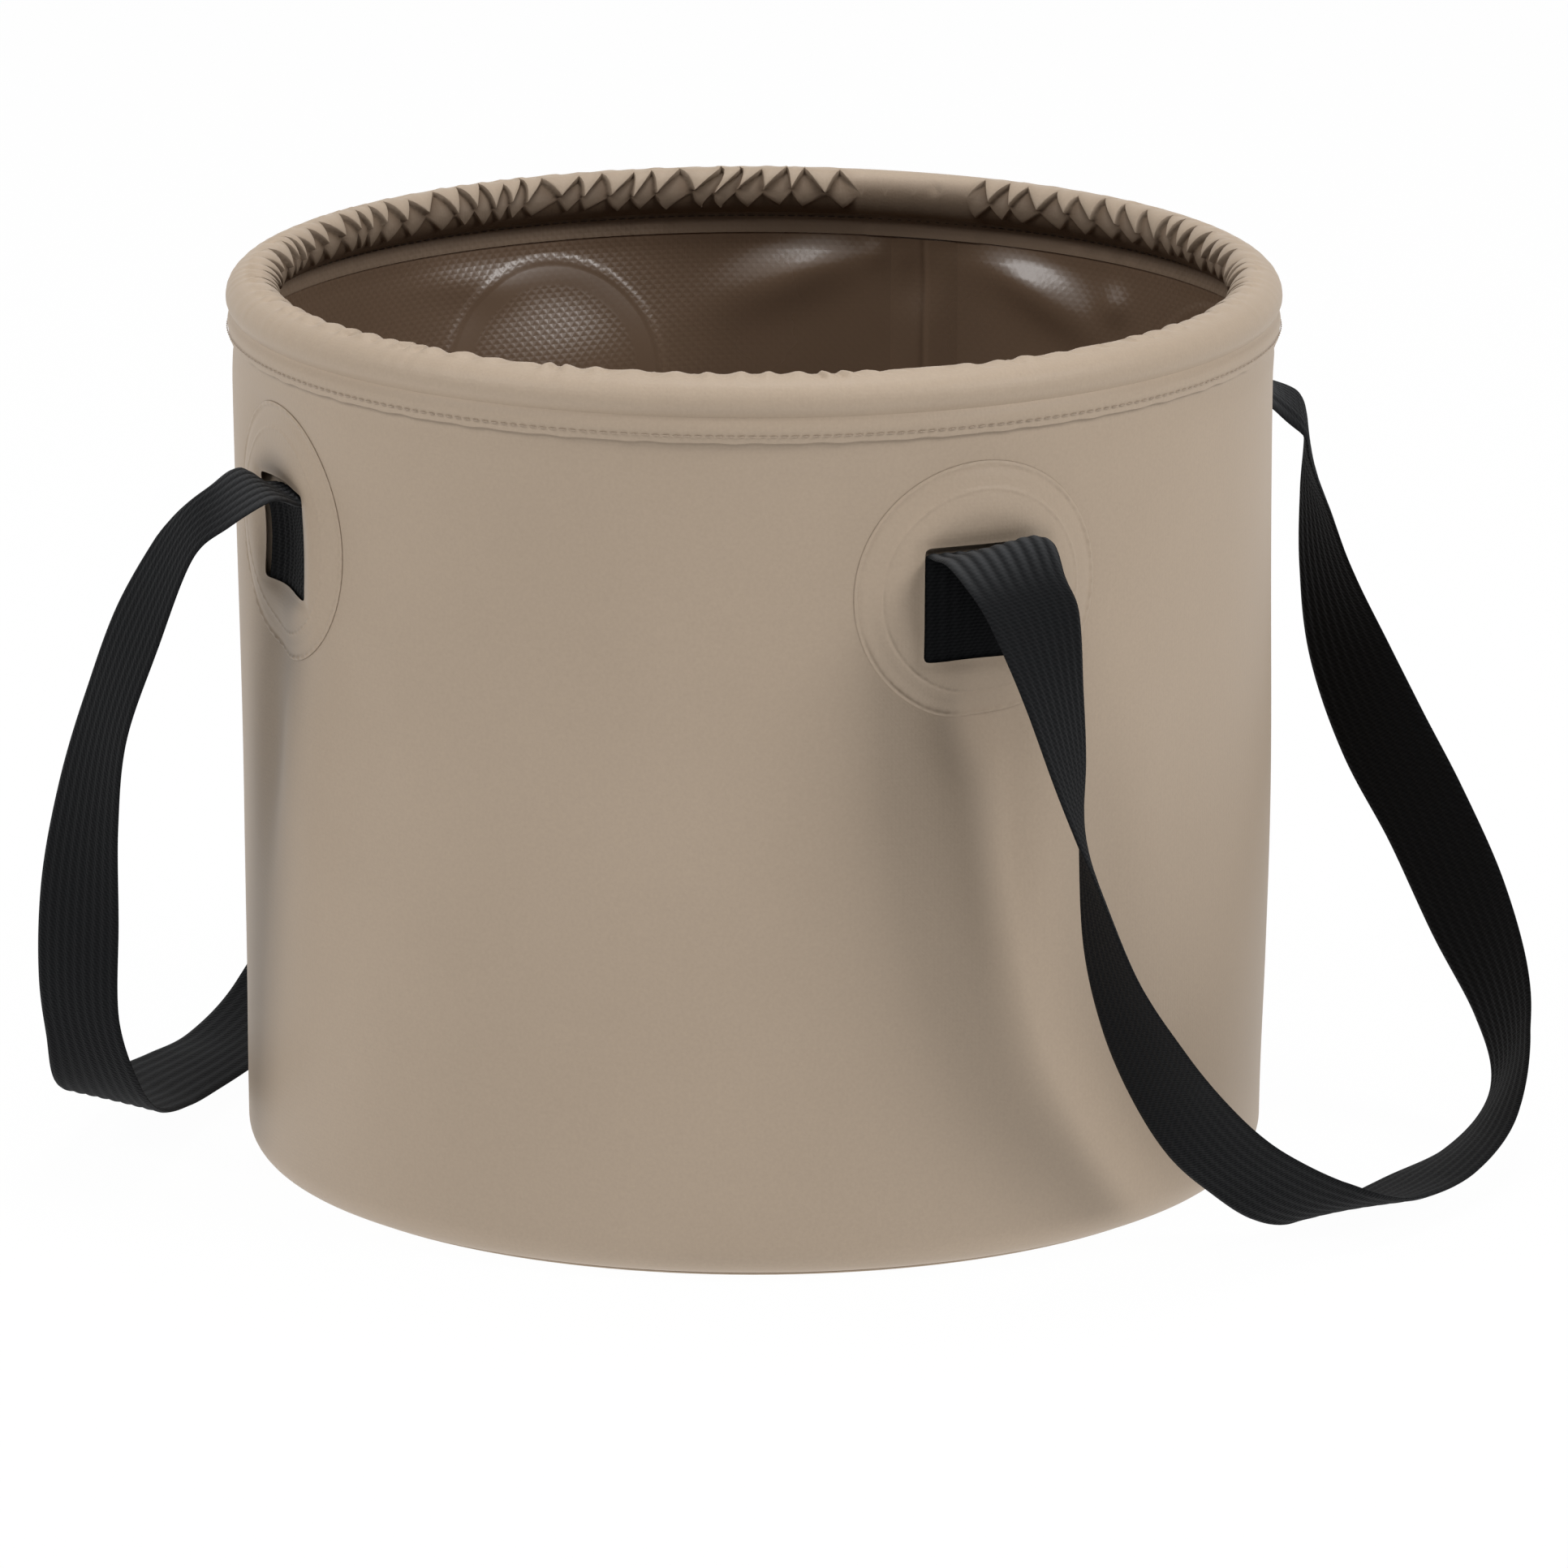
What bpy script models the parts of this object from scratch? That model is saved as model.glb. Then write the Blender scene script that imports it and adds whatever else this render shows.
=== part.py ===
"""Collapsible camp bucket of coated fabric.

A wall panel and a base panel are welded into a drum. A gathered sleeve holds a plastic hoop at
the mouth, and two webbing straps come out of windowed patches in the wall.
Metres, +Z up. The origin is the centre of the base's underside. The straps hang at +X and -X,
and the wall's seam is at +Y.
"""

import math

import bmesh
import bpy
import numpy as np

# Coated fabric and the clearance between pieces that touch
FABRIC = 0.0009
CLEARANCE = 0.0003

# Drum
BUCKET_HEIGHT = 0.2871
MOUTH_RADIUS = 0.165
TAPER = 0.0027
FOOT_BEND = 0.0109
FOOT_LAP = 0.0125
SEAM_WIDTH = 0.025

# Hoop tube and the plug that joins its two ends
HOOP_RADIUS = 0.0058
HOOP_WALL = 0.0013
PLUG_LENGTH = 0.046
COLLAR_LENGTH = 0.003

# Rim sleeve: slack round the hoop, how far the roll stands out past the wall, and the hem
ROLL_SLACK = 0.0008
ROLL_OVERHANG = 0.0022
HEM_DEPTH = 0.0041
HEM_STITCH_RISE = 0.0022
THREAD_RADIUS = 0.0003

# Gathers round the inner side of the roll
PLEATS = 104
PLEAT_RISE = 0.0017
PLEAT_DIP = 0.0002
LAP_TURN = math.radians(8)
LAP_FADE = math.radians(4)

# Webbing, patches and the windows in them
WEBBING_WIDTH = 0.038
WEBBING = 0.0018
WINDOW_PLAY = 0.0007
WINDOW_HEIGHT = 0.035
WINDOW_CORNER = 0.001
PATCH_DROP = 0.050
WINDOW_DROP = 0.0035
POCKET_MARGIN = 0.0022
POCKET_SLOPE = 0.0025
PATCH_WELD = 0.0084
STRAP_REACH = 0.110
SWING_DROP = 0.0173

SEAM_TURN = math.radians(90)
PATCH_TURN = math.radians(45)
WALL_SIDES = 72
HOOP_SIDES = 48
HOOP_FACES = 8
THREAD_SIDES = 60
PATCH_SIDES = 32

# Columns of points across a strip, as shares of its width
COLUMN_SHARES = (-0.5, -0.25, 0, 0.25, 0.5)

# Each row is a place on the strap: how far along the span between its two windows, how far out
# towards the reach, and how high towards the fold, all as shares, with the way its width points.
RIGHT_ROUTE_SHARES = (
    (-1, 0, 1, (0.7, 0.7, 0)),
    (-1.06, 0.065, 0.995, (0.65, 0.75, 0)),
    (-1.09, 0.13, 0.965, (0.5, 0.85, 0)),
    (-1.12, 0.18, 0.925, (0.4, 0.9, 0)),
    (-1.135, 0.23, 0.83, (0.15, 1, 0)),
    (-1.125, 0.28, 0.725, (-0.1, 1, 0.1)),
    (-1.09, 0.325, 0.613, (-0.4, 0.9, 0.1)),
    (-1.03, 0.38, 0.46, (-0.7, 0.7, 0.1)),
    (-0.93, 0.445, 0.34, (-0.9, 0.5, 0)),
    (-0.79, 0.51, 0.235, (-0.95, 0.3, -0.1)),
    (-0.66, 0.58, 0.155, (-0.95, 0.2, -0.25)),
    (-0.54, 0.655, 0.104, (-0.95, 0.15, -0.32)),
    (-0.42, 0.72, 0.068, (-0.92, 0.12, -0.42)),
    (-0.28, 0.78, 0.049, (-0.95, 0.15, -0.34)),
    (-0.1, 0.84, 0.037, (-0.92, 0.25, -0.26)),
    (0.16, 0.905, 0.036, (-0.84, 0.38, -0.28)),
    (0.45, 0.98, 0.054, (-0.65, 0.5, -0.45)),
    (0.67, 1.0, 0.114, (-0.5, 0.6, -0.6)),
    (0.8, 0.93, 0.2, (-0.6, 0.5, -0.6)),
    (0.92, 0.78, 0.305, (-0.7, 0.3, -0.6)),
    (1.01, 0.62, 0.418, (-0.75, 0.3, -0.6)),
    (1.075, 0.465, 0.52, (-0.8, 0.3, -0.55)),
    (1.12, 0.34, 0.63, (-0.8, 0.45, -0.4)),
    (1.135, 0.265, 0.74, (-0.7, 0.7, -0.2)),
    (1.135, 0.23, 0.835, (-0.55, 0.85, 0)),
    (1.12, 0.21, 0.92, (-0.35, 0.95, 0.1)),
    (1.1, 0.185, 0.975, (-0.4, 0.9, 0.15)),
    (1.06, 0.065, 1.01, (-0.65, 0.75, 0)),
    (1, 0, 1, (-0.7, 0.7, 0)),
)
LEFT_ROUTE_SHARES = (
    (-1, 0, 1, (0.7, -0.7, 0)),
    (-1.06, 0.065, 1.018, (0.65, -0.75, 0)),
    (-1.09, 0.14, 1.0, (0.5, -0.86, -0.1)),
    (-1.11, 0.22, 0.945, (0.5, -0.85, -0.15)),
    (-1.135, 0.33, 0.82, (0.64, -0.74, -0.2)),
    (-1.135, 0.435, 0.687, (0.66, -0.72, -0.2)),
    (-1.12, 0.5, 0.557, (0.78, -0.6, -0.2)),
    (-1.09, 0.545, 0.415, (0.88, -0.44, -0.2)),
    (-1.04, 0.575, 0.27, (0.9, -0.4, -0.22)),
    (-0.93, 0.61, 0.16, (0.93, -0.26, -0.18)),
    (-0.74, 0.635, 0.09, (0.98, -0.1, -0.1)),
    (-0.5, 0.655, 0.058, (0.98, 0, -0.1)),
    (-0.25, 0.665, 0.045, (1, 0, -0.08)),
    (0, 0.66, 0.04, (1, 0, 0)),
    (0.25, 0.645, 0.05, (1, 0, 0.1)),
    (0.52, 0.61, 0.095, (0.97, 0.1, 0)),
    (0.77, 0.57, 0.18, (0.9, 0.3, -0.15)),
    (0.95, 0.535, 0.31, (0.88, 0.42, -0.2)),
    (1.06, 0.48, 0.45, (0.8, 0.55, -0.2)),
    (1.11, 0.42, 0.595, (0.7, 0.65, -0.2)),
    (1.125, 0.335, 0.735, (0.66, 0.72, -0.2)),
    (1.12, 0.245, 0.865, (0.6, 0.8, -0.1)),
    (1.09, 0.155, 0.965, (0.6, 0.8, 0)),
    (1.06, 0.065, 1.01, (0.65, 0.75, 0)),
    (1, 0, 1, (0.7, 0.7, 0)),
)

# Places that follow from the sizes above
FOOT_RADIUS = MOUTH_RADIUS - TAPER
LAP_UNDERSIDE = FABRIC + CLEARANCE
BEND_HEIGHT = LAP_UNDERSIDE + FOOT_BEND
HOOP_BORE_RADIUS = HOOP_RADIUS - HOOP_WALL
ROLL_RADIUS = HOOP_RADIUS + ROLL_SLACK + FABRIC
RIM_RADIUS = MOUTH_RADIUS + ROLL_OVERHANG - ROLL_RADIUS
RIM_HEIGHT = BUCKET_HEIGHT - ROLL_RADIUS
HEM_HEIGHT = RIM_HEIGHT - ROLL_RADIUS - HEM_DEPTH
PATCH_HEIGHT = HEM_HEIGHT - PATCH_DROP
WINDOW_WIDTH = WEBBING_WIDTH + 2 * WINDOW_PLAY
WINDOW_TOP = PATCH_HEIGHT - WINDOW_DROP + WINDOW_HEIGHT / 2
POCKET_RADIUS = math.hypot(WINDOW_WIDTH / 2, WINDOW_DROP + WINDOW_HEIGHT / 2) + POCKET_MARGIN
FOLD_HEIGHT = WINDOW_TOP - CLEARANCE - WEBBING / 2
FOLD_BEND = WEBBING / 2 + CLEARANCE
SWING_HEIGHT = FOLD_HEIGHT - SWING_DROP
POCKET_RISE = WEBBING + 2 * CLEARANCE


def wall_radius(height):
    """The drum's outer radius, which grows evenly from the foot's bend to the hem."""
    share = (height - BEND_HEIGHT) / (HEM_HEIGHT - BEND_HEIGHT)
    return FOOT_RADIUS + (MOUTH_RADIUS - FOOT_RADIUS) * min(max(share, 0), 1)


FOLD_RADIUS = wall_radius(FOLD_HEIGHT) + POCKET_RISE + FABRIC + 2 * CLEARANCE
FOLD_OUT = FOLD_RADIUS * math.cos(PATCH_TURN)
FOLD_ALONG = FOLD_RADIUS * math.sin(PATCH_TURN)


def finish(name, colour, roughness):
    """A plain Principled material."""
    material = bpy.data.materials.new(name)
    material.use_nodes = True
    shader = material.node_tree.nodes["Principled BSDF"]
    shader.inputs["Base Color"].default_value = (*colour, 1)
    shader.inputs["Roughness"].default_value = roughness
    shader.inputs["Metallic"].default_value = 0
    return material


def pivot(name, place):
    """An empty that carries the pieces which move together."""
    empty = bpy.data.objects.new(name, None)
    empty.location = place
    bpy.context.collection.objects.link(empty)
    return empty


def make_object(name, mesh_data, material, parent):
    """Closes a bmesh into an object whose origin is its parent's, with smooth round faces."""
    bmesh.ops.recalc_face_normals(mesh_data, faces=mesh_data.faces)
    mesh = bpy.data.meshes.new(name)
    bmesh.ops.translate(mesh_data, verts=mesh_data.verts, vec=-parent.location)
    mesh_data.to_mesh(mesh)
    mesh_data.free()
    mesh.materials.append(material)
    mesh.shade_smooth()
    mesh.set_sharp_from_angle(angle=math.radians(35))
    piece = bpy.data.objects.new(name, mesh)
    bpy.context.collection.objects.link(piece)
    piece.parent = parent
    return piece


def loft(mesh_data, rings, closed):
    """Skins neighbouring rings of points; an open run is capped at both ends."""
    loops = [[mesh_data.verts.new(point) for point in ring] for ring in rings]
    pairs = list(zip(loops, loops[1:]))
    if closed:
        pairs.append((loops[-1], loops[0]))
    else:
        mesh_data.faces.new(loops[0])
        mesh_data.faces.new(loops[-1])
    for first, second in pairs:
        count = len(first)
        for index in range(count):
            after = (index + 1) % count
            mesh_data.faces.new((first[index], first[after], second[after], second[index]))


def around(radius, height, turn):
    """A point at a radius and height, turned about the drum's axis."""
    return (radius * math.cos(turn), radius * math.sin(turn), height)


def turns(count):
    """Even turns all the way round, from the seam."""
    return [SEAM_TURN + 2 * math.pi * index / count for index in range(count)]


def base_panel(material, parent):
    """Flat disc under the wall's turned-in edge."""
    radius = FOOT_RADIUS - FOOT_BEND
    rings = [[around(radius, height, turn) for turn in turns(WALL_SIDES)] for height in (0, FABRIC)]
    mesh_data = bmesh.new()
    loft(mesh_data, rings, closed=False)
    return make_object("base_panel", mesh_data, material, parent)


def wall_section():
    """One closed section of the wall: outer face down and under, then the inner face back up."""
    centre = FOOT_RADIUS - FOOT_BEND
    under_hoop = math.sqrt(max(HOOP_RADIUS**2 - (MOUTH_RADIUS - FABRIC - RIM_RADIUS) ** 2, 0))
    top = RIM_HEIGHT - under_hoop - 2 * CLEARANCE
    lap_end = centre - FOOT_LAP
    bend = [math.radians(angle) for angle in (0, -22.5, -45, -67.5, -90)]
    outer = [(MOUTH_RADIUS, top), (MOUTH_RADIUS, HEM_HEIGHT)]
    outer += [
        (centre + FOOT_BEND * math.cos(a), BEND_HEIGHT + FOOT_BEND * math.sin(a)) for a in bend
    ]
    outer.append((lap_end, LAP_UNDERSIDE))
    inner_bend = FOOT_BEND - FABRIC
    inner = [(lap_end, LAP_UNDERSIDE + FABRIC)]
    inner += [
        (centre + inner_bend * math.cos(a), BEND_HEIGHT + inner_bend * math.sin(a))
        for a in reversed(bend)
    ]
    inner += [(MOUTH_RADIUS - FABRIC, HEM_HEIGHT), (MOUTH_RADIUS - FABRIC, top)]
    return outer + inner


def wall_panel(material, parent):
    """The drum's wall, with its lower edge turned in over the base."""
    section = wall_section()
    rings = [[around(r, z, turn) for r, z in section] for turn in turns(WALL_SIDES)]
    mesh_data = bmesh.new()
    loft(mesh_data, rings, closed=True)
    return make_object("wall_panel", mesh_data, material, parent)


def wall_seam_tape(material, parent):
    """Tape welded over the wall's meeting edges on the inside."""
    rings = []
    for height in (BEND_HEIGHT, HEM_HEIGHT - CLEARANCE):
        outer = wall_radius(height) - FABRIC - CLEARANCE
        spread = [SEAM_TURN + share * SEAM_WIDTH / outer for share in COLUMN_SHARES]
        ring = [around(outer, height, turn) for turn in spread]
        ring += [around(outer - FABRIC, height, turn) for turn in reversed(spread)]
        rings.append(ring)
    mesh_data = bmesh.new()
    loft(mesh_data, rings, closed=False)
    return make_object("wall_seam_tape", mesh_data, material, parent)


def window_loop():
    """Points round the window, as (across, up) from the patch's centre, evenly by direction."""
    half_width = WINDOW_WIDTH / 2
    half_height = WINDOW_HEIGHT / 2
    core_width = half_width - WINDOW_CORNER
    core_height = half_height - WINDOW_CORNER
    per_side = PATCH_SIDES // 4
    points = []
    corners = ((1, 1), (-1, 1), (-1, -1), (1, -1))
    for index, (across, up) in enumerate(corners):
        start = math.radians(90 * index)
        for step in (0, 0.5, 1):
            angle = start + math.radians(90) * step
            points.append(
                (
                    across * core_width + WINDOW_CORNER * math.cos(angle),
                    up * core_height + WINDOW_CORNER * math.sin(angle),
                )
            )
        here = np.array(points[-1])
        next_across, next_up = corners[(index + 1) % 4]
        end = start + math.radians(90)
        there = np.array(
            (
                next_across * core_width + WINDOW_CORNER * math.cos(end),
                next_up * core_height + WINDOW_CORNER * math.sin(end),
            )
        )
        inner_steps = per_side - 3
        for step in range(1, inner_steps + 1):
            points.append(tuple(here + (there - here) * step / (inner_steps + 1)))
    return [(across, up - WINDOW_DROP) for across, up in points]


def handle_patch(name, middle, material, parent):
    """Round patch whose raised middle holds the strap's tail, with a window cut in it."""
    window = window_loop()
    directions = [np.array(point) / math.hypot(*point) for point in window]
    foot = CLEARANCE
    raised = CLEARANCE + POCKET_RISE

    def circle(radius):
        return [tuple(direction * radius) for direction in directions]

    step = POCKET_RADIUS + POCKET_SLOPE
    outer_skin = [
        (window, raised + FABRIC),
        (circle(POCKET_RADIUS), raised + FABRIC),
        (circle(step), foot + FABRIC),
        (circle(step + PATCH_WELD), foot + FABRIC),
    ]
    inner_skin = [
        (circle(step + PATCH_WELD), foot),
        (circle(step - FABRIC / 2), foot),
        (circle(POCKET_RADIUS - FABRIC / 2), raised),
        (window, raised),
    ]
    rings = []
    for loop, lift in outer_skin + inner_skin:
        ring = []
        for across, up in loop:
            height = PATCH_HEIGHT + up
            radius = wall_radius(height)
            ring.append(around(radius + lift, height, middle + across / radius))
        rings.append(ring)
    mesh_data = bmesh.new()
    loft(mesh_data, rings, closed=True)
    return make_object(name, mesh_data, material, parent)


def smooth_curve(points, steps):
    """Catmull-Rom curve through the points, with the given steps between neighbours."""
    points = np.array(points, dtype=float)
    ends = (2 * points[0] - points[1], 2 * points[-1] - points[-2])
    padded = np.vstack((ends[0], points, ends[1]))
    curve = []
    for index in range(1, len(padded) - 2):
        before, here, there, after = padded[index - 1 : index + 3]
        for step in range(steps):
            s = step / steps
            curve.append(
                here
                + 0.5 * s * (there - before)
                + 0.5 * s**2 * (2 * before - 5 * here + 4 * there - after)
                + 0.5 * s**3 * (3 * here - before - 3 * there + after)
            )
    curve.append(padded[-2])
    return np.array(curve)


def strap_stations(side, route_shares):
    """Middle, width direction and thickness direction of the webbing at stations of its route.

    side is 1 for the strap at +X and -1 for the one at -X.
    """
    places = [
        (side * (FOLD_OUT + out * STRAP_REACH), along * FOLD_ALONG, up * FOLD_HEIGHT)
        for along, out, up, _ in route_shares
    ]
    middle = smooth_curve(places, 2)
    across = smooth_curve([row[3] for row in route_shares], 2)
    ahead = np.gradient(middle, axis=0)
    ahead /= np.linalg.norm(ahead, axis=1)[:, None]
    across -= np.sum(across * ahead, axis=1)[:, None] * ahead
    across /= np.linalg.norm(across, axis=1)[:, None]
    return np.stack((middle, across, np.cross(ahead, across)), axis=1)


def swing_station(stations, gap):
    """The station where the strap comes down past the swing's height, and its place in the row.

    gap is how much further along the strap the station lies.
    """
    heights = stations[:, 0, 2]
    after = next(i for i in range(3, len(heights)) if heights[i] < SWING_HEIGHT)
    before, here = stations[after - 1], stations[after]
    share = (before[0, 2] - SWING_HEIGHT) / (before[0, 2] - here[0, 2])
    share += gap / np.linalg.norm(here[0] - before[0])
    station = before + (here - before) * share
    station[1:] /= np.linalg.norm(station[1:], axis=1)[:, None]
    return station, after


def webbing_ring(station, columns):
    """Points round the webbing's cross-section at a station."""
    middle, across, normal = station
    face = [middle + across * (WEBBING_WIDTH * share) for share in columns]
    half = normal * WEBBING / 2
    return [point + half for point in face] + [point - half for point in reversed(face)]


def webbing_loft(mesh_data, rings):
    """Skins webbing rings with the same diagonals on both faces, so a twist keeps its thickness."""
    loops = [[mesh_data.verts.new(point) for point in ring] for ring in rings]
    mesh_data.faces.new(loops[0])
    mesh_data.faces.new(loops[-1])
    count = len(loops[0])
    for first, second in zip(loops, loops[1:]):
        for index in range(count):
            after = (index + 1) % count
            if index < count // 2:
                mesh_data.faces.new((first[index], first[after], second[after]))
                mesh_data.faces.new((first[index], second[after], second[index]))
            else:
                mesh_data.faces.new((first[index], first[after], second[index]))
                mesh_data.faces.new((first[after], second[after], second[index]))


def folded_tail(middle_turn):
    """Rings of the strap's end in the patch: up the wall, then bent out over the window's top."""
    reach = math.sqrt((POCKET_RADIUS - FABRIC / 2) ** 2 - (WEBBING_WIDTH / 2) ** 2)
    bend_start = FOLD_HEIGHT - FOLD_BEND
    places = [(0, PATCH_HEIGHT - reach + 2 * CLEARANCE)]
    places += [(math.radians(angle), bend_start) for angle in (0, 30, 60, 90)]
    rings = []
    for angle, height in places:
        radius = wall_radius(height) + 2 * CLEARANCE + WEBBING / 2
        out = radius + FOLD_BEND * (1 - math.cos(angle))
        up = height + FOLD_BEND * math.sin(angle)
        ring = []
        for half, columns in ((WEBBING / 2, COLUMN_SHARES), (-WEBBING / 2, COLUMN_SHARES[::-1])):
            for share in columns:
                turn = middle_turn + share * WEBBING_WIDTH / radius
                ring.append(around(out - half * math.cos(angle), up + half * math.sin(angle), turn))
        rings.append(ring)
    return rings


def strap_end(name, middle_turn, stations, material, parent):
    """The strap's sewn-in end: flat in the patch, folded out of the window, over and down."""
    tangent = np.array((-math.sin(middle_turn), math.cos(middle_turn), 0))
    last, after = swing_station(stations, 0)
    route = list(stations[1:after:2]) + [last]
    flip = 1 if stations[0, 1] @ tangent > 0 else -1
    rings = folded_tail(middle_turn)
    for station in [stations[0]] + route:
        middle, across, normal = station
        upward = normal if stations[0, 2, 2] > 0 else -normal
        rings.append(webbing_ring((middle, flip * across, upward), COLUMN_SHARES))
    mesh_data = bmesh.new()
    webbing_loft(mesh_data, rings)
    return make_object(name, mesh_data, material, parent)


def handle_strap(name, stations, material, parent):
    """The hanging loop of a strap, between the places where its two ends come down."""
    first, after = swing_station(stations, CLEARANCE)
    last, left_over = swing_station(stations[::-1], CLEARANCE)
    route = [first] + list(stations[after + 1 : len(stations) - left_over - 1]) + [last]
    rings = [webbing_ring(station, COLUMN_SHARES[::2]) for station in route]
    mesh_data = bmesh.new()
    webbing_loft(mesh_data, rings)
    return make_object(name, mesh_data, material, parent)


def hoop_tube(material, parent):
    """Plastic tube bent into a hoop, open where the plug joins it."""
    gap = (COLLAR_LENGTH / 2 + CLEARANCE) / RIM_RADIUS
    stations = np.linspace(SEAM_TURN + gap, SEAM_TURN + 2 * math.pi - gap, HOOP_SIDES + 1)
    outer = [tube_ring(HOOP_RADIUS, turn) for turn in stations]
    inner = [tube_ring(HOOP_BORE_RADIUS, turn) for turn in reversed(stations)]
    mesh_data = bmesh.new()
    loft(mesh_data, outer + inner, closed=True)
    return make_object("rim_hoop", mesh_data, material, parent)


def tube_ring(radius, turn):
    """A ring of points round the middle of the rim's roll."""
    points = []
    for index in range(HOOP_FACES):
        angle = 2 * math.pi * (index + 0.5) / HOOP_FACES
        points.append(
            around(RIM_RADIUS + radius * math.cos(angle), RIM_HEIGHT + radius * math.sin(angle), turn)
        )
    return points


def hoop_joiner(material, parent):
    """Plug with a middle collar, pushed into both ends of the hoop."""
    plug = HOOP_BORE_RADIUS - 2 * CLEARANCE
    half_plug = PLUG_LENGTH / 2 / RIM_RADIUS
    half_collar = COLLAR_LENGTH / 2 / RIM_RADIUS
    outline = [
        (-half_plug, plug),
        (-half_plug / 2, plug),
        (-half_collar, plug),
        (-half_collar, HOOP_RADIUS),
        (half_collar, HOOP_RADIUS),
        (half_collar, plug),
        (half_plug / 2, plug),
        (half_plug, plug),
    ]
    rings = [tube_ring(radius, SEAM_TURN + turn) for turn, radius in outline]
    mesh_data = bmesh.new()
    loft(mesh_data, rings, closed=False)
    return make_object("hoop_joiner", mesh_data, material, parent)


def hem_faces():
    """Radii of the sleeve's two legs: outer leg's outer and inner face, inner leg's outer and inner."""
    outer_leg = MOUTH_RADIUS + CLEARANCE
    inner_leg = MOUTH_RADIUS - FABRIC - CLEARANCE
    return outer_leg + FABRIC, outer_leg, inner_leg, inner_leg - FABRIC


def hem_thread(name, radius, material, parent):
    """A line of sewing thread round the hem, at the given radius."""
    height = HEM_HEIGHT + HEM_STITCH_RISE
    angles = [2 * math.pi * index / 3 for index in range(3)]
    rings = []
    for turn in turns(THREAD_SIDES):
        ring = []
        for angle in angles:
            out = radius + THREAD_RADIUS * math.cos(angle)
            ring.append(around(out, height + THREAD_RADIUS * math.sin(angle), turn))
        rings.append(ring)
    mesh_data = bmesh.new()
    loft(mesh_data, rings, closed=True)
    return make_object(name, mesh_data, material, parent)


def gather(turn):
    """Share of full gathering at a turn: none on the flat lap over the seam, full elsewhere."""
    away = abs((turn - SEAM_TURN + math.pi) % (2 * math.pi) - math.pi)
    share = min(max((away - LAP_TURN) / LAP_FADE, 0), 1)
    return share * share * (3 - 2 * share)


def sleeve_rows():
    """Rows of the sleeve's section, each (radius, height, pleat row) with pleat row None if plain.

    The outer skin climbs the outer leg, goes round the roll and comes down the inner leg, and
    the inner skin goes back round the hoop.
    """
    outer_face, outer_inside, inner_outside, inner_face = hem_faces()

    def on_circle(radius, angle):
        return (RIM_RADIUS + radius * math.cos(angle), RIM_HEIGHT + radius * math.sin(angle))

    def leg_angle(face, radius):
        return -math.acos((face - RIM_RADIUS) / radius)

    rows = [(outer_face, HEM_HEIGHT, None)]
    start = leg_angle(outer_face, ROLL_RADIUS)
    for angle in (start, math.radians(15), math.radians(55), math.radians(92)):
        rows.append((*on_circle(ROLL_RADIUS, angle), None))
    for index, degrees in enumerate((120, 153, 188, 225)):
        rows.append((*on_circle(ROLL_RADIUS, math.radians(degrees)), index))
    end = leg_angle(inner_face, ROLL_RADIUS) + 2 * math.pi
    rows.append((*on_circle(ROLL_RADIUS, math.radians(262)), None))
    rows.append((*on_circle(ROLL_RADIUS, end), None))
    rows.append((inner_face, HEM_HEIGHT, None))
    rows.append((inner_outside, HEM_HEIGHT, None))
    inside = ROLL_RADIUS - FABRIC
    first = leg_angle(inner_outside, inside) + 2 * math.pi
    last = leg_angle(outer_inside, inside)
    for angle in np.linspace(first, last, 11):
        rows.append((*on_circle(inside, angle), None))
    rows.append((outer_inside, HEM_HEIGHT, None))
    return rows


def pleated_ring(mesh_data, radius, height, pleat_row):
    """A ring with two points a pleat, raised and dipped by turns, shifted one point a row."""
    away = np.array((radius - RIM_RADIUS, height - RIM_HEIGHT))
    away /= np.linalg.norm(away)
    depth_shares = (0.7, 1, 1, 0.6)
    ring = []
    for index, turn in enumerate(turns(2 * PLEATS)):
        raised = (index + pleat_row) % 2 == 0
        push = PLEAT_RISE if raised else -PLEAT_DIP
        push *= gather(turn) * depth_shares[pleat_row]
        ring.append(mesh_data.verts.new(around(radius + away[0] * push, height + away[1] * push, turn)))
    return ring


def rim_sleeve(material, parent):
    """Gathered sleeve round the hoop, whose two legs are sewn to the wall."""
    mesh_data = bmesh.new()
    rings = []
    for radius, height, pleat_row in sleeve_rows():
        if pleat_row is None:
            ring = [mesh_data.verts.new(around(radius, height, turn)) for turn in turns(PLEATS)]
        else:
            ring = pleated_ring(mesh_data, radius, height, pleat_row)
        rings.append(ring)
    for first, second in zip(rings, rings[1:] + rings[:1]):
        count = max(len(first), len(second))
        if len(first) == len(second):
            for index in range(count):
                after = (index + 1) % count
                quad = (first[index], first[after], second[after], second[index])
                mesh_data.faces.new(quad)
            continue
        coarse, fine = sorted((first, second), key=len)
        for index in range(len(coarse)):
            after = (index + 1) % len(coarse)
            left, middle, right = (fine[(2 * index + k) % count] for k in range(3))
            mesh_data.faces.new((coarse[index], middle, left))
            mesh_data.faces.new((coarse[index], coarse[after], middle))
            mesh_data.faces.new((coarse[after], right, middle))
    return make_object("rim_sleeve", mesh_data, material, parent)


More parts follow.
